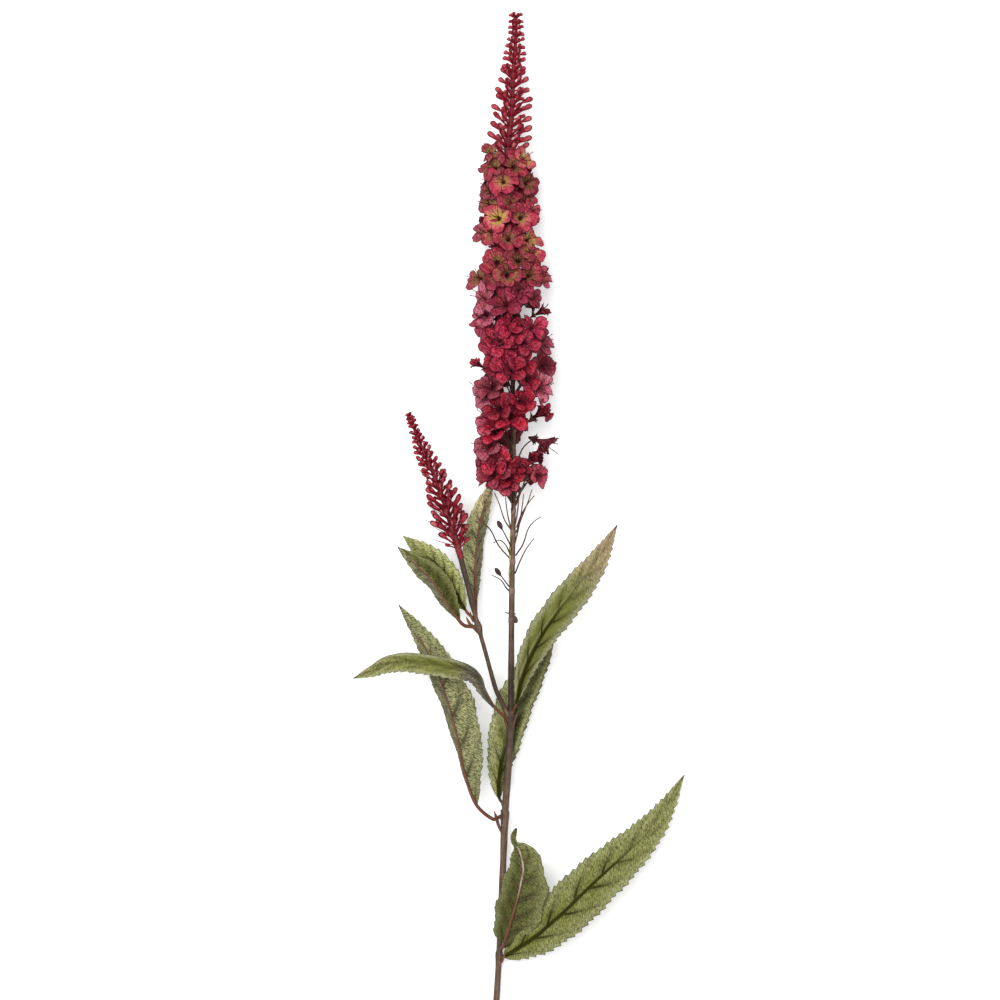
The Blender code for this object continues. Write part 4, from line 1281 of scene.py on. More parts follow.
def stem_paths(stem):
    """The stem's own line, its bosses and the small bracts and wedges at its joints."""
    paths = Paths()
    if stem == "main":
        line, radius_at, shades = smooth_line(MAIN_STEM, MAIN_STEM_POINTS), stem_radius, STEM_SHADES
    else:
        line, radius_at, shades = smooth_line(SIDE_STEM, SIDE_STEM_POINTS), side_stem_radius, SIDE_SHADES
    wear = np.random.default_rng(11)
    marks = np.arange(0, len(line) + WEAR_PITCH, WEAR_PITCH)
    uneven = np.interp(np.arange(len(line)), marks, wear.normal(0, WEAR_SWING, len(marks)))
    tone = np.interp(np.arange(len(line)), marks, wear.uniform(-0.1, 0.2, len(marks))).clip(0, 1)
    shade = [stepwise(shades, point.y) for point in line]
    paths.add(line, [radius_at(p.y) * (1 + bump) for p, bump in zip(line, uneven)], tone, shade)
    for leaf in LEAVES.values():
        if leaf.stem == stem:
            _, boss = stub(leaf)
            radii = (STUB_RADIUS * 1.15, STUB_RADIUS * 1.1, STUB_RADIUS, RIB_RADII[0] * 1.1)
            paths.add(boss, radii, (0, 0.2, 0.6, 0.9))
    for owner, points, radii, warmth in BRACTS:
        if owner == stem:
            shares = np.linspace(0, 1, BRACT_POINTS)
            thickness = [base_mid_tip(radii, share) for share in shares]
            paths.add(smooth_line(points, BRACT_POINTS), thickness, warmth)
    return paths


class BuildStems(bpy.types.Operator):
    """Builds the main stem and the side stem as moulded tubes with their bosses"""

    bl_idname = "speedwell.stems"
    bl_label = "Stems"

    def execute(self, context):
        settings = context.scene.speedwell_stems
        skin = moulded_material("stem_skin", settings.bark, settings.bark_pale, WARM_BARK)
        main = stem_paths("main")
        fork, _ = place_on("main", SIDE_FORK_HEIGHT)
        start = Vector(SIDE_STEM[0])
        main.add([fork.lerp(start, share) for share in (0, 0.5, 1)], SIDE_FORK_RADII, 0.1)
        nub, _ = place_on("main", NUB_HEIGHT)
        main.add([nub + NUB_REACH * share for share in NUB_SHARES], NUB_RADII, 0.0, 0.7)
        strips = Paths()
        for low, high, width in OCHRE_STRIPS:
            heights = np.linspace(low, high, STRIP_POINTS)
            strip = [place_on("main", height)[0] + stem_radius(height) * STRIP_SIDE for height in heights]
            shares = np.linspace(0.02, 0.98, STRIP_POINTS)
            strips.add(strip, [0.15 + width * math.sin(math.pi * share) ** 0.5 for share in shares])
        hand_over(main.tubes("stem_skin_main", settings.sides, skin), "stem_plastic", "main_stem")
        ochre = moulded_material("ochre_strip", *OCHRE_SKIN)
        hand_over(strips.tubes("ochre_strips", 8, ochre), "stem_plastic")
        side = stem_paths("side").tubes("stem_skin_side", settings.sides, skin)
        hand_over(side, "stem_plastic", "side_stem")
        return {"FINISHED"}


# Leaves


def fullness(widest, at, heart, blunt):
    """The blade's half width as a share of its greatest, from its base (0) to its tip (1)."""
    if at < widest:
        return math.sin(0.5 * math.pi * at / widest) ** heart
    return max(0, math.cos(0.5 * math.pi * (at - widest) / (1 - widest))) ** blunt


def rib_radius(at):
    return part_way(RIB_RADII, min(at / 0.5, 1))


class LeafShape:
    """A leaf's surface: a point for each place along the blade (0 to 1) and across it (-1 to 1)."""

    def __init__(self, leaf, seed):
        self.leaf = leaf
        start, _ = stub(leaf)
        self.line = smooth_line((start, *leaf.spine), SPINE_STEPS)
        self.tangents = tangents(self.line)
        self.first = round(leaf.petiole * SPINE_STEPS)
        steps = [(b - a).length for a, b in zip(self.line[self.first:], self.line[self.first + 1:])]
        self.length = sum(steps)
        self.wave = np.random.default_rng(seed).uniform(0, math.tau, 4)

    def frame(self, share):
        """The spine's point, the rightward side and the face's direction at a share of the line."""
        index = share * (SPINE_STEPS - 1)
        low = min(int(index), SPINE_STEPS - 2)
        point = self.line[low].lerp(self.line[low + 1], index - low)
        tangent = self.tangents[low].lerp(self.tangents[low + 1], index - low).normalized()
        right, up = side_and_up(tangent)
        roll = math.radians(base_mid_tip(self.leaf.roll, share))
        side = right * math.cos(roll) + up * math.sin(roll)
        face = up * math.cos(roll) - right * math.sin(roll)
        return point, side, -face if self.leaf.rib_on_top else face

    def share(self, at):
        first = self.first / (SPINE_STEPS - 1)
        return first + (1 - first) * at

    def half_width(self, at, across):
        leaf = self.leaf
        half = 0 if across < 0 else 1
        end = part_way(BLADE_END_WIDTHS, at)
        if leaf.tail:
            end = max(end, TAIL_WIDTH * min(1, (1 - at) / 0.05) ** 0.5)
        full = fullness(leaf.widest[half], min(at / (1 - leaf.tail), 1), leaf.heart, leaf.blunt)
        wave = 1 + leaf.wavy * math.sin(at * self.length / 4.2 + self.wave[1 + 2 * half])
        return max(end, leaf.widths[half] * full * wave)

    def point(self, at, across, veins, tooth=0.0):
        """The surface's point, and how far it lies from the rib."""
        share = self.share(at)
        spine, side, face = self.frame(share)
        width = self.half_width(at, across)
        out = abs(across)
        reach = out * width + tooth * max(0, out - 0.7) / 0.3
        fold = math.radians(base_mid_tip(self.leaf.fold, at))
        phase = (at - VEIN_SLANT * out**VEIN_BEND) * veins + (0.5 if across > 0 else 0)
        quilt = 0.6 * math.cos(math.tau * phase) * out * (1 - out) * 4 * min(1, width / 8)
        run = at * self.length
        ripple = 0.05 * width * math.sin(run / 6.5 + self.wave[0 if across < 0 else 1]) * out**2
        ripple += 0.035 * width * math.sin(run / 14 + self.wave[2 if across < 0 else 3]) * out
        hollow = 0.1 * width * math.sin(math.pi * min(out * 1.15, 1)) * math.cos(fold)
        seat = spine + face * (rib_radius(share) + BLADE_CLOTH + 0.05)
        seat -= face * 0.28 * max(0.0, 1 - reach / 2.2)
        level = side * math.copysign(math.cos(fold), across) * reach
        return seat + level + face * (reach * math.sin(fold) + hollow + quilt + ripple), reach


def blade_mesh(name, shape, settings):
    """The serrated blade, with the attributes that its material reads."""
    leaf = shape.leaf
    rows = max(60, round(shape.length / BLADE_ROW))
    even = np.linspace(-1, 1, BLADE_COLUMNS)
    across = 0.55 * np.sin(even * math.pi / 2) + 0.45 * even
    pitch, depth = settings.tooth_pitch / MM, settings.tooth_depth / MM
    points, cloth, passed = [], [], []
    for row in range(rows + 1):
        at = row / rows
        run = at * shape.length
        fade = min(1, at * 12, (1 - at) * 9) * min(1, shape.half_width(at, 1) / 7)
        for place in across:
            side = 1 if place > 0 else 0
            saw = (run / pitch + 0.37 * side) % 1
            tooth = depth * (saw**1.3 - 0.45) * fade * leaf.teeth[side]
            point, reach = shape.point(at, place, settings.vein_count, tooth)
            off_rib = math.copysign(reach * MM, place)
            half = held(reach / 1.5) * (side - 0.5) + 0.5
            # Painted highlights and shade along folds, added to the half's painted light.
            fold_light = [gain * math.exp(-(((place - crest) / wide) ** 2)) for crest, wide, gain in leaf.fold_light]
            points.append(point)
            cloth.append((run * MM, off_rib))
            passed.append({
                "along": at, "across": place, "off_rib": off_rib, "rim": abs(place), "blush": leaf.blush,
                # Painted light and shade of each half, plus painted highlights and shade along folds.
                "light": part_way(leaf.light, half) + sum(fold_light) * math.sin(math.pi * at),
                # The back's grey on a turned base, and painted shade on halves turned away from the light.
                "grey": max(held((leaf.turned - at) / 0.1) * 1.3, part_way(leaf.grey, half)),
                # How far the painted shade along the rib reaches.
                "hollow": held((leaf.hollow_shade_reach + 0.12 - at) / 0.2),
                # The olive band and the painted highlight on the crease.
                "olive_band_and_highlight": part_way(leaf.olive_band_and_highlight, half),
            })
    mesh = grid_mesh(name, rested(in_frame(points)), len(across), flip=leaf.rib_on_top)
    pass_on(mesh, passed)
    layer = mesh.uv_layers.new(name="cloth")
    corners = np.zeros(len(mesh.loops), np.int32)
    mesh.loops.foreach_get("vertex_index", corners)
    layer.data.foreach_set("uv", np.array(cloth, np.float32)[corners].ravel())
    return mesh


def rib_paths(shape, settings):
    """The rib from the petiole to near the tip, and the short side ribs pressed on the back."""
    paths = Paths()
    shares = [step / RIB_STEPS for step in range(round(RIB_END * RIB_STEPS))]
    line = [shape.frame(share)[0] for share in shares]
    thick = TOP_RIB if shape.leaf.rib_on_top else 1.0
    radii = [thick * rib_radius(share) * (1.0 - 0.55 * max(0, share - 0.3)) for share in shares]
    petiole = shape.share(0)
    tones = [1.0 if share < petiole else max(0.25, 0.9 - 0.5 * share) for share in shares]
    bleach = -0.9 if shape.leaf.tail else 0.0
    paths.add(line, radii, tones, [bleach * min(1, max(0, share - 0.4) / 0.2) for share in shares])
    spacing = 1 / settings.vein_count
    for half in (-1, 1):
        for number in range(1, settings.vein_count - 1):
            root = (number + (0.5 if half < 0 else 0.0)) * spacing
            if root > 0.8:
                continue
            branch = []
            for out in np.linspace(0.05, 0.42, 7):
                at = root + VEIN_SLANT * out**VEIN_BEND
                point, _ = shape.point(at, half * out, settings.vein_count)
                _, _, face = shape.frame(shape.share(root))
                branch.append(point - face * (BLADE_CLOTH + 0.2))
            paths.add(branch, np.linspace(0.42, 0.15, len(branch)), np.linspace(0.35, 0.0, len(branch)))
    return paths


class BuildLeaves(bpy.types.Operator):
    """Builds the nine woven leaves with serrated margins and moulded ribs"""

    bl_idname = "speedwell.leaves"
    bl_label = "Leaves"

    def execute(self, context):
        settings = context.scene.speedwell_leaves
        front = leaf_material("leaf_front", settings, settings.green, False)
        back = leaf_material("leaf_back", settings, settings.back, True)
        edge = edge_material()
        rib_skin = moulded_material("rib_skin", *RIB_SKIN, settings.rib)
        for seed, (name, leaf) in enumerate(LEAVES.items()):
            shape = LeafShape(leaf, seed)
            sheet = blade_mesh("sheet_" + name, shape, settings)
            for material in (front, back, edge):
                sheet.materials.append(material)
            blade = linked("blade_" + name, thickened(sheet, BLADE_CLOTH * MM, True))
            hand_over(blade, "leaf_fabric", "leaf_" + name)
            rib = rib_paths(shape, settings).tubes("midrib_" + name, 8, rib_skin)
            hand_over(rib, "rib_plastic", "rib_" + name)
        return {"FINISHED"}


# Florets


def petal_outline(at):
    """A petal's half width from its claw (0) to its rounded end (1), for a floret of radius 1."""
    widest = 0.62
    if at < widest:
        return 0.09 + 0.315 * math.sin(0.5 * math.pi * at / widest) ** 1.5
    return 0.405 * math.sqrt(max(0.0, 1 - ((at - widest) / (1.03 - widest)) ** 2.2))


def floret_master(seed, openness, closed=False):
    """Five crinkled petals round a throat, mouth towards +Z, one unit from middle to petal end."""
    chance = np.random.default_rng(seed)
    rows, columns = 10, 8
    made = bmesh.new()
    layers = {name: made.verts.layers.float.new(name) for name in ("radial", "across", "rim")}
    for petal in range(5):
        length = 1 + chance.uniform(-0.16, 0.08)
        widen = chance.uniform(0.86, 1.12) * (0.75 if closed else 1)
        curl = chance.uniform(-0.25, 0.6)
        twist = chance.uniform(-0.8, 0.8)
        phase = chance.uniform(0, math.tau)
        lift = chance.uniform(-0.22, 0.34)
        notch = chance.uniform(0.0, 0.07)
        spread = 0.62 if closed else 1.0
        turn = Matrix.Rotation(math.tau * petal / 5 + chance.uniform(-0.14, 0.14), 3, "Z")
        grid = []
        for at in np.linspace(0, 1, rows):
            rise = openness * (1 - (1 - at) ** 2.4) + lift * at - curl * max(0, at - 0.4) ** 2 * 1.7
            half = petal_outline(at) * widen * (1 + 0.06 * math.sin(9 * at + phase))
            line = []
            for side in np.linspace(-1, 1, columns):
                reach = (0.05 + 0.95 * at**0.94) * length * spread
                reach -= notch * at**3 * (1 - abs(side)) ** 0.8 + 0.12 * half * side**2
                crinkle = 0.06 * at**1.2 * math.sin(6.0 * side + phase) * math.sin(4 * at + phase)
                crinkle += 0.035 * at * math.sin(13 * at + 3 * side + 2 * phase)
                cup = 0.34 * half * side**2 * (1 - 0.5 * at)
                place = (reach, side * half, rise + cup + crinkle + twist * half * side * at)
                vertex = made.verts.new(turn @ Vector(place))
                rim = max(abs(side), (at - 0.55) / 0.45) if at > 0.25 else abs(side) * at * 4
                for label, value in (("radial", at), ("across", side), ("rim", rim)):
                    vertex[layers[label]] = value
                line.append(vertex)
            grid.append(line)
        for low, high in zip(grid, grid[1:]):
            for a, b, c, d in zip(low, low[1:], high[1:], high):
                made.faces.new((a, d, c, b))
    mesh = bpy.data.meshes.new("floret")
    made.to_mesh(mesh)
    made.free()
    mesh.shade_smooth()
    inner = len(mesh.vertices)
    wall = thickened(mesh, PETAL_THICKNESS)
    # under marks the underside, which the petal material darkens as painted shade.
    set_values(wall, "under", [float(index >= inner) for index in range(len(wall.vertices))])
    return wall


def calyx_master(seed):
    """A cup with five pointed sepals, for a floret of radius 1 whose base is at the origin."""
    chance = np.random.default_rng(seed)
    columns = 20
    points = []
    profile = ((-0.42, 0.05), (-0.33, 0.085), (-0.2, 0.115), (-0.1, 0.13), (-0.05, 0.135))
    reach = [0.24 + chance.uniform(-0.03, 0.07) for _ in range(5)]
    for step, (height, radius) in enumerate(profile):
        for column in range(columns + 1):
            angle = math.tau * column / columns
            tooth = 1 - abs(((5 * column / columns) % 1) * 2 - 1)
            extra = reach[int(5 * column / columns) % 5] * tooth * (step / (len(profile) - 1)) ** 3
            wide = radius + extra
            points.append((wide * math.cos(angle), wide * math.sin(angle), height + 0.2 * extra))
    mesh = grid_mesh("calyx", points, columns + 1)
    shell = bmesh.new()
    shell.from_mesh(mesh)
    bmesh.ops.remove_doubles(shell, verts=shell.verts, dist=0.0001)
    shell.to_mesh(mesh)
    shell.free()
    mesh.shade_smooth()
    return thickened(mesh, CUP_THICKNESS)


def add_ring(paths, height):
    """A shallow moulded collar round the main stem."""
    centre, tangent = place_on("main", height)
    radius = stepwise(MAIN_STEM_RADII, height)
    line = [centre + tangent * RING_LENGTH * share for share in (-0.5, -0.42, 0, 0.42, 0.5)]
    inner, outer = radius * 0.9, radius + RING_WALL
    paths.add(line, (inner, outer * 0.97, outer, outer * 0.95, inner), 0.1, -0.36)


class Floret(NamedTuple):
    """A floret's throat, the way it faces and the way from the stem towards it."""

    base: Vector
    axis: Vector
    size: float
    outward: Vector
    mood: float


def tier_florets(index, height, given):
    """The florets of a tier, those underneath pressed up by the surface."""
    florets = []
    tier = index / (len(FLOWER_TIERS) - 1)
    for count, (bearing, lift, share, mood) in enumerate(given):
        centre, tangent = place_on("main", height + lift)
        outward = outwards(tangent, math.radians(bearing))
        rise = math.radians(FLORET_RISE + RISE_SWING * math.sin(2.4 * (index + 3 * count)))
        axis = outward * math.cos(rise) + tangent * math.sin(rise)
        if mood > -0.5 and outward.z > -0.35:
            axis = (axis + UP * 1.1 * (1 - max(0.0, outward.z)) ** 0.7).normalized()
        elif mood <= -1:
            axis = (outward - tangent * 0.35).normalized()
        size = part_way(FLORET_RADIUS, tier) * share * (1.0 if mood <= -0.5 else 1.04)
        depth = part_way(FLORET_DEPTH, tier)
        stand = stepwise(FLORET_STANDOFF, index) * (1 - 0.17 * max(0.0, outward.z))
        base = centre + outward * stand + tangent * PEDICEL_RISE
        lowest = base.z + axis.z * depth * 0.9 - size * math.sqrt(max(0, 1 - axis.z**2))
        if lowest < 0 and outward.z < 0:
            base -= outward * (lowest / outward.z)
        florets.append(Floret(base, axis, size, outward, mood))
    return florets


class BuildFlorets(bpy.types.Operator):
    """Builds the sixteen tiers of florets with their cups, pedicels and stamens"""

    bl_idname = "speedwell.florets"
    bl_label = "Florets"

    def execute(self, context):
        settings = context.scene.speedwell_flowers
        petals = petal_material(settings)
        dark = [0.5 * c for c in settings.plum]
        stalk = moulded_material("stalk_skin", dark, settings.plum, WARM_STALK)
        open_ones = [floret_master(seed, 0.22 + 0.07 * (seed % 4)) for seed in OPEN_SEEDS]
        closed_ones = [floret_master(seed, 0.9, True) for seed in CLOSED_SEEDS]
        florets = master_collection("floret", open_ones + closed_ones)
        cups = master_collection("calyx", [calyx_master(seed) for seed in CUP_SEEDS])
        chance = np.random.default_rng(5)
        for index, (height, given) in enumerate(FLOWER_TIERS):
            corollas, calyces, threads = Copies(), Copies(), Paths()
            bloom, magenta = stepwise(BLOOM_TIERS, index), stepwise(MAGENTA_TIERS, index)
            for floret in tier_florets(index, height, given):
                if floret.mood > -0.5:
                    kind = int(chance.integers(len(OPEN_SEEDS)))
                else:
                    kind = len(OPEN_SEEDS) + int(chance.integers(len(CLOSED_SEEDS)))
                turn = turn_to(floret.axis, UP + Vector((0, 0.3, 0)))
                turn = turn @ Quaternion((0, 0, 1), chance.uniform(0, math.tau))
                size = (floret.size,) * 3
                share = bloom * chance.uniform(0.4, 1.0)
                hidden = 1.0 if floret.outward.z < -0.4 else 0.0
                corollas.add(
                    floret.base, turn, size, kind, tone=chance.uniform(0, 1), bloom=share * (1 - hidden),
                    magenta=magenta, mood=floret.mood,
                )
                cup = int(chance.integers(len(CUP_SEEDS)))
                calyces.add(floret.base, turn, size, cup, tone=chance.uniform(0, 0.6))
                self.add_pedicel(threads, floret)
                self.add_stamens(threads, floret, settings.stamens, chance)
            if index not in BARE_TIERS:
                self.add_inner(corollas, index, height, magenta, chance)
            add_ring(threads, height)
            name = f"{index + 1:02d}"
            heads = corollas.pieces("florets_" + name, florets, petals)
            hand_over(heads, "floret_fabric", "flower_tier_" + name)
            hand_over(calyces.pieces("cups_" + name, cups, stalk), "stalk_plastic")
            hand_over(threads.tubes("pedicels_" + name, 6, stalk), "stalk_plastic")
        remove_masters(florets)
        remove_masters(cups)
        return {"FINISHED"}

    @staticmethod
    def add_inner(corollas, index, height, magenta, chance):
        """Smaller florets pressed in close to the stem, which fill the spike's inside, in darker plum as
        painted shade.
        """
        for bearing in INNER_BEARINGS[1 if index in OPEN_TIERS else 0:]:
            centre, tangent = place_on("main", height + chance.uniform(2, 12))
            outward = outwards(tangent, math.radians(bearing + chance.uniform(-14, 14)))
            axis = outward * 0.8 + tangent * 0.6
            base = centre + outward * stepwise(FLORET_STANDOFF, index) * chance.uniform(0.3, 0.5)
            size = part_way(FLORET_RADIUS, index / (len(FLOWER_TIERS) - 1)) * chance.uniform(0.8, 1.0)
            spun = turn_to(axis, tangent) @ Quaternion((0, 0, 1), chance.uniform(0, math.tau))
            kind = int(chance.integers(len(OPEN_SEEDS)))
            # Their low mood paints them darker plum, as shade inside the spike.
            corollas.add(
                base, spun, (size,) * 3, kind, tone=chance.uniform(0, 0.5), bloom=0.0,
                magenta=0.4 * magenta, mood=chance.uniform(-0.7, -0.2),
            )

    @staticmethod
    def add_pedicel(paths, floret):
        """A thin stalk that leaves the stem below its floret, runs up along it and bends outwards."""
        centre, tangent = place_on("main", floret.base.y - PEDICEL_RISE - PEDICEL_DROP)
        root = centre + floret.outward * 1.6
        end = floret.base - floret.axis * 2
        bend = root.lerp(end, 0.5) + tangent * 3.5 - floret.outward * 1.5
        line = smooth_line((root, bend, end, floret.base), 11)
        paths.add(line, np.linspace(0.6, 0.5, len(line)), np.linspace(0.1, 0.4, len(line)))

    @staticmethod
    def add_stamens(paths, floret, count, chance):
        """Threads that spread from the throat, each ending in a small swollen anther."""
        side = floret.axis.cross(UP if abs(floret.axis.z) < 0.9 else Vector((1, 0, 0))).normalized()
        for number in range(count):
            turn = math.tau * (number + chance.uniform(-0.3, 0.3)) / max(count, 1)
            lean = Quaternion(floret.axis, turn) @ side
            longest = 1.3 if floret.outward.z < 0.4 else 0.9
            reach = floret.size * chance.uniform(0.65, longest)
            spread = reach * chance.uniform(0.2, 0.5)
            line = [floret.base + floret.axis * reach * s + lean * spread * s**1.6 for s in STAMEN_SHARES]
            paths.add(line, STAMEN_RADII, STAMEN_TONES)


# Spikes


def bud_master(bend, full):
    """A club-shaped bud along +Z, one unit long and one unit thick, bent towards +X."""
    profile = (
        (0.0, 0.5), (0.28, 0.4), (0.52, 0.42), (0.65, 0.72),
        (0.78, 1.0), (0.9, 0.98 * full), (0.97, 0.66 * full), (1.0, 0.2),
    )
    columns = 8
    made = bmesh.new()
    radial = made.verts.layers.float.new("radial")
    rim = made.verts.layers.float.new("rim")
    rings = []
    for height, radius in profile:
        ring = []
        for column in range(columns):
            angle = math.tau * column / columns
            wide = radius * (1 + (0.08 * math.cos(4 * angle) if height > 0.5 else 0.0))
            place = (wide * math.cos(angle) + bend * height**2, wide * math.sin(angle), height)
            vertex = made.verts.new(place)
            vertex[radial] = height
            # rim marks where the bud material paints shade: the lower half between buds, the two sides and
            # the end's edge.
            seam = 0.5 + 0.5 * math.cos(2 * angle)
            vertex[rim] = 0.6 if height < 0.5 else seam if height < 0.95 else 0.85
            ring.append(vertex)
        rings.append(ring)
    for low, high in zip(rings, rings[1:]):
        for a, b, c, d in zip(low, low[1:] + low[:1], high[1:] + high[:1], high):
            made.faces.new((a, b, c, d))
    made.faces.new(rings[0][::-1])
    made.faces.new(rings[-1])
    mesh = bpy.data.meshes.new("bud")
    made.to_mesh(mesh)
    made.free()
    mesh.shade_smooth()
    return mesh


def spike_piece(name, spike, settings, masters, skins):
    """A tapering core with whorls of buds, smaller buds beneath them and hair-fine bracts."""
    chance = np.random.default_rng(spike.seed)
    crowded = spike.crowded
    line = smooth_line(spike.line, SPIKE_POINTS)
    directions = tangents(line)
    length = sum((b - a).length for a, b in zip(line, line[1:]))
    last = SPIKE_POINTS - 1
    paths, buds = Paths(), Copies()
    radii = [stepwise(spike.core, i / last) * (1 + 0.05 * math.sin(i * 1.3)) for i in range(SPIKE_POINTS)]
    foot = line[0] - directions[0] * 5.0
    socket = [foot, foot + directions[0] * 0.6]
    paths.add([*socket, *line], [radii[0] * 0.8, radii[0], *radii], 0.2 if crowded else 0.9)
    run, row = 1.2 * SOCKET_DEPTH, 0
    while run < length - 0.6:
        share = run / length
        index = min(round(share * last), last - 1)
        centre, tangent = line[index], directions[index]
        reach = stepwise(spike.buds, share)
        amount = settings.buds_per_row + crowded
        closing = TIP_LEAN * max(0, share - 0.85) / 0.15
        for number in range(amount):
            turn = math.tau * (number + 0.5 * crowded * (row % 2) + chance.uniform(-0.12, 0.12)) / amount
            outward = outwards(tangent, turn)
            lean = BUD_LEAN - CROWDED_LEAN * crowded + chance.uniform(-LEAN_SWING, LEAN_SWING)
            lean = math.radians(lean - closing)
            direction = outward * math.sin(lean) + tangent * math.cos(lean)
            foot = centre + outward * radii[index] * 0.4 + tangent * chance.uniform(-0.7, 0.7)
            fat = (1.2 + 0.048 * reach) * chance.uniform(0.9, 1.1) * (1 - 0.12 * crowded)
            long = reach * chance.uniform(0.9, 1.06)
            kind, tone = int(chance.integers(len(BUD_SHAPES))), chance.uniform(0, 1)
            buds.add(foot, turn_to(direction, tangent), (fat, fat, long), kind, tone=tone)
            if number % 2 == 0 and reach > 9 and outward.z < 0.5:
                lower = outward * math.sin(lean + 0.3) + tangent * math.cos(lean + 0.3)
                size = (fat * 0.75, fat * 0.75, long * 0.62)
                kind, tone = int(chance.integers(len(BUD_SHAPES))), chance.uniform(0, 0.4)
                buds.add(foot - tangent * 2.6, turn_to(lower, tangent), size, kind, tone=tone)
            if number % 3 == 1 and share < 0.32:
                shares = (0, 0.35, 0.7, 1)
                hair = [foot + (outward * 0.9 + tangent * (0.3 + 0.15 * s)) * s * reach * 1.2 for s in shares]
                paths.add(hair, (0.36, 0.32, 0.26, 0.08), 0.1)
        run += 3.2 + 0.26 * reach - 0.6 * crowded
        row += 1
    hand_over(buds.pieces("buds_" + name, masters, skins[0]), "bud_plastic", name + "_spike")
    hand_over(paths.tubes("rachis_" + name, 8, skins[1]), "bud_plastic")


class BuildSpikes(bpy.types.Operator):
    """Builds the tapering tip of closed buds and the budded side spike"""

    bl_idname = "speedwell.spikes"
    bl_label = "Spikes"

    def execute(self, context):
        settings = context.scene.speedwell_flowers
        dark, pale = ([share * c + 0.02 for c in settings.raspberry] for share in CORE_SHARES)
        core_skin = moulded_material("rachis_skin", dark, pale, WARM_CORE, 0.6)
        skins = (bud_material(settings), core_skin)
        masters = master_collection("bud", [bud_master(*shape) for shape in BUD_SHAPES])
        for name, spike in SPIKES.items():
            spike_piece(name, spike, settings, masters, skins)
        remove_masters(masters)
        return {"FINISHED"}


# Bare stalks


class BuildStalks(bpy.types.Operator):
    """Builds the rings of thin stalks between the leaves and the flowers"""

    bl_idname = "speedwell.stalks"
    bl_label = "Bare stalks"

    def execute(self, context):
        settings = context.scene.speedwell_flowers
        skin = moulded_material("bare_stalk_skin", settings.plum, *BARE_STALK_SKIN)
        for index, (height, stalks) in enumerate(STALK_TIERS):
            centre, _ = place_on("main", height)
            paths = Paths()
            add_ring(paths, height)
            for *points, bud in stalks:
                line = smooth_line([centre + Vector(point) for point in points], 16)
                self.add_stalk(paths, line, bud, STALK_TONES[index], STALK_SHADES[index])
            hand_over(paths.tubes(f"stalks_{index + 1}", 8, skin), "stalk_plastic", f"stalk_tier_{index + 1}")
        return {"FINISHED"}

    @staticmethod
    def add_stalk(paths, line, bud, tone, shade):
        """A thin stalk that ends in a bud, in an open star of sepals or in nothing."""
        end = line[-1]
        onward = (line[-1] - line[-2]).normalized()
        radii = list(np.linspace(0.66, 0.5 if bud else 0.34, len(line)))
        tones = list(np.linspace(tone, 0.3 * tone, len(line)))
        if bud > 0:
            shares = (0.08, 0.22, 0.45, 0.7, 0.88, 1.0)
            line = line + [end + onward * bud * share for share in shares]
            radii += [0.7, 1.35, 2.0, 1.9, 1.25, 0.3]
            tones += [0.1, 0.0, 0.0, 0.0, 0.0, 0.0]
        paths.add(line, radii, tones, shade)
        if bud < 0:
            side = onward.cross(UP).normalized()
            for number in range(5):
                out = Quaternion(onward, math.tau * number / 5) @ side
                sepal = [end + onward * s * 3.2 + out * (5.2 * s - 1.4 * s**2) for s in (0, 0.3, 0.6, 1)]
                paths.add(sepal, (0.7, 1.0, 0.8, 0.15), 1.0)


# Stage


def seen_rays(graph):
    """1 for the rays that see the stage, directly or through gloss or glass, and 0 for those that light."""
    rays = graph.node("ShaderNodeLightPath").outputs
    seen = graph.math("MAXIMUM", rays["Is Camera Ray"], rays["Is Glossy Ray"])
    return graph.math("MAXIMUM", seen, rays["Is Transmission Ray"])


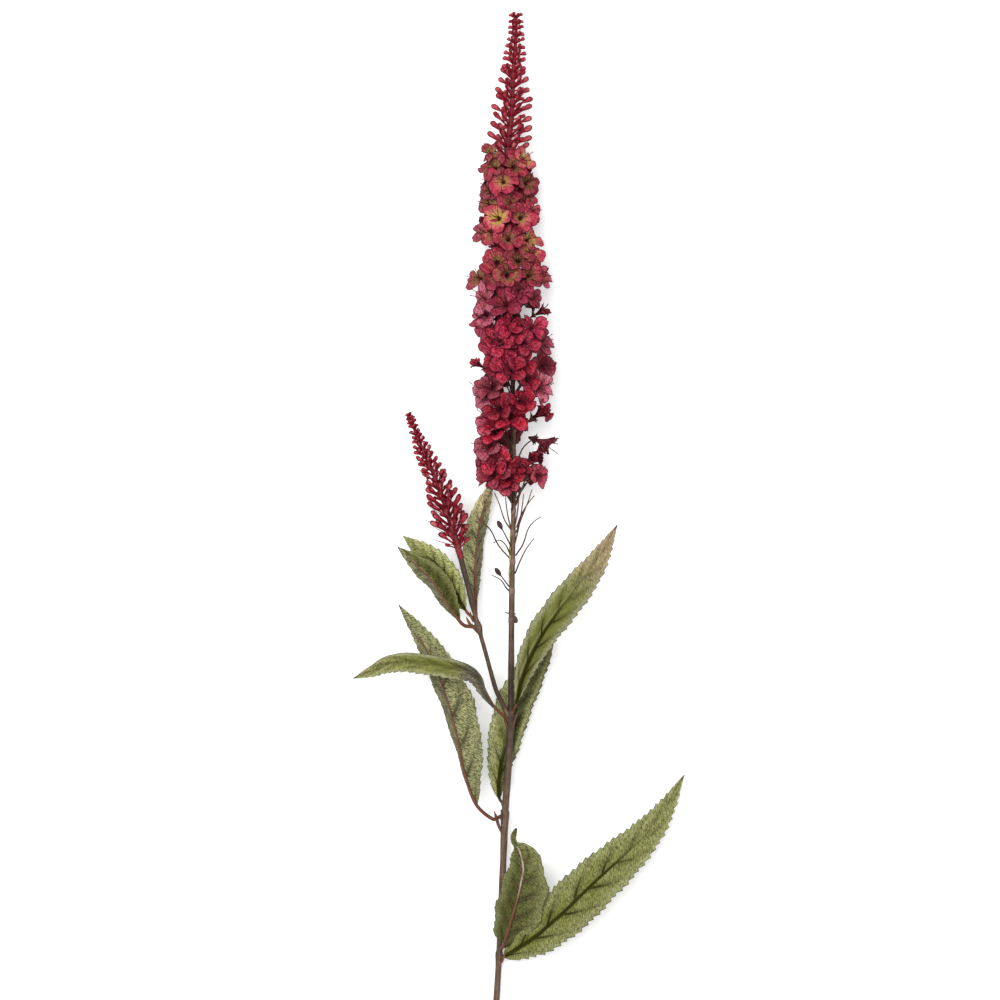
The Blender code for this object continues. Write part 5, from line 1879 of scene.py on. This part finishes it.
class BuildStage(bpy.types.Operator):
    """Lays the pale floor, sets the soft lamps and hangs the camera straight above"""

    bl_idname = "speedwell.stage"
    bl_label = "Stage"

    def execute(self, context):
        settings = context.scene.speedwell_stage
        self.add_floor(settings)
        self.add_lamps(settings)
        self.add_camera(settings)
        context.scene.view_settings.view_transform = "Standard"
        return {"FINISHED"}

    @staticmethod
    def add_floor(settings):
        far = FLOOR_REACH
        mesh = bpy.data.meshes.new("floor")
        mesh.from_pydata([(-far, -far, 0), (far, -far, 0), (far, far, 0), (-far, far, 0)], [], [(0, 1, 2, 3)])
        paper, graph, shader = new_material("floor_paper", 0.9, Specular_IOR_Level=0.1)
        grain = graph.noise(graph.place(), 40.0, 2.0)
        tint = graph.mix(grain, rgba(settings.floor), rgba(settings.floor, 0.985))
        graph.feed(shader.inputs["Base Color"], tint)
        shader.inputs["Emission Color"].default_value = (1, 1, 1, 1)
        away = graph.node("ShaderNodeVectorMath", operation="LENGTH")
        graph.feed(away.inputs[0], graph.place())
        glow = graph.ramp(away.outputs["Value"], *FLOOR_GLOW)
        graph.feed(shader.inputs["Emission Strength"], graph.times(seen_rays(graph), glow))
        mesh.materials.append(paper)
        floor = linked("floor", mesh)

    @staticmethod
    def add_lamps(settings):
        world = bpy.data.worlds.new("even_sky")
        world.use_nodes = True
        graph = Graph(world.node_tree)
        background = world.node_tree.nodes["Background"]
        background.inputs["Color"].default_value = (1, 1, 1, 1)
        strength = graph.ramp(seen_rays(graph), 0.0, 1.0, settings.sky, 1.0)
        graph.feed(background.inputs["Strength"], strength)
        bpy.context.scene.world = world
        for name, place, size, share in LAMPS:
            lamp = bpy.data.lights.new(name, "AREA")
            lamp.size = size
            lamp.energy = settings.key * share
            holder = linked(name, lamp)
            holder.location = place
            holder.rotation_euler = (-Vector(place)).to_track_quat("-Z", "Y").to_euler()

    @staticmethod
    def add_camera(settings):
        lens = bpy.data.cameras.new("above")
        lens.lens = settings.lens
        lens.sensor_width = SENSOR
        x, y, _ = in_frame([PICTURE_CENTRE])[0]
        camera = linked("above", lens)
        camera.location = (x, y, FLOWER_MIDDLE + PICTURE_SPAN * settings.lens / SENSOR)
        bpy.context.scene.camera = camera


BUILDERS = (BuildStems, BuildLeaves, BuildStalks, BuildFlorets, BuildSpikes, BuildStage)
SETTINGS = {
    "speedwell_stems": StemSettings,
    "speedwell_leaves": LeafSettings,
    "speedwell_flowers": FlowerSettings,
    "speedwell_stage": StageSettings,
}


class SpeedwellPanel(bpy.types.Panel):
    """Lists the spray's settings and builders"""

    bl_idname = "VIEW3D_PT_speedwell"
    bl_label = "Speedwell spray"
    bl_space_type = "VIEW_3D"
    bl_region_type = "UI"
    bl_category = "Speedwell"

    def draw(self, context):
        for name, kind in SETTINGS.items():
            box = self.layout.box()
            for label in kind.__annotations__:
                box.prop(getattr(context.scene, name), label)
        for builder in BUILDERS:
            self.layout.operator(builder.bl_idname)


def register():
    for kind in (*SETTINGS.values(), *BUILDERS, SpeedwellPanel):
        bpy.utils.register_class(kind)
    for name, kind in SETTINGS.items():
        setattr(bpy.types.Scene, name, bpy.props.PointerProperty(type=kind))


def unregister():
    for name in SETTINGS:
        delattr(bpy.types.Scene, name)
    for kind in reversed((*SETTINGS.values(), *BUILDERS, SpeedwellPanel)):
        bpy.utils.unregister_class(kind)


def main():
    register()
    bpy.ops.speedwell.stems()
    bpy.ops.speedwell.leaves()
    bpy.ops.speedwell.stalks()
    bpy.ops.speedwell.florets()
    bpy.ops.speedwell.spikes()
    bpy.ops.speedwell.stage()
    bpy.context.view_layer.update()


if __name__ == "__main__":
    main()
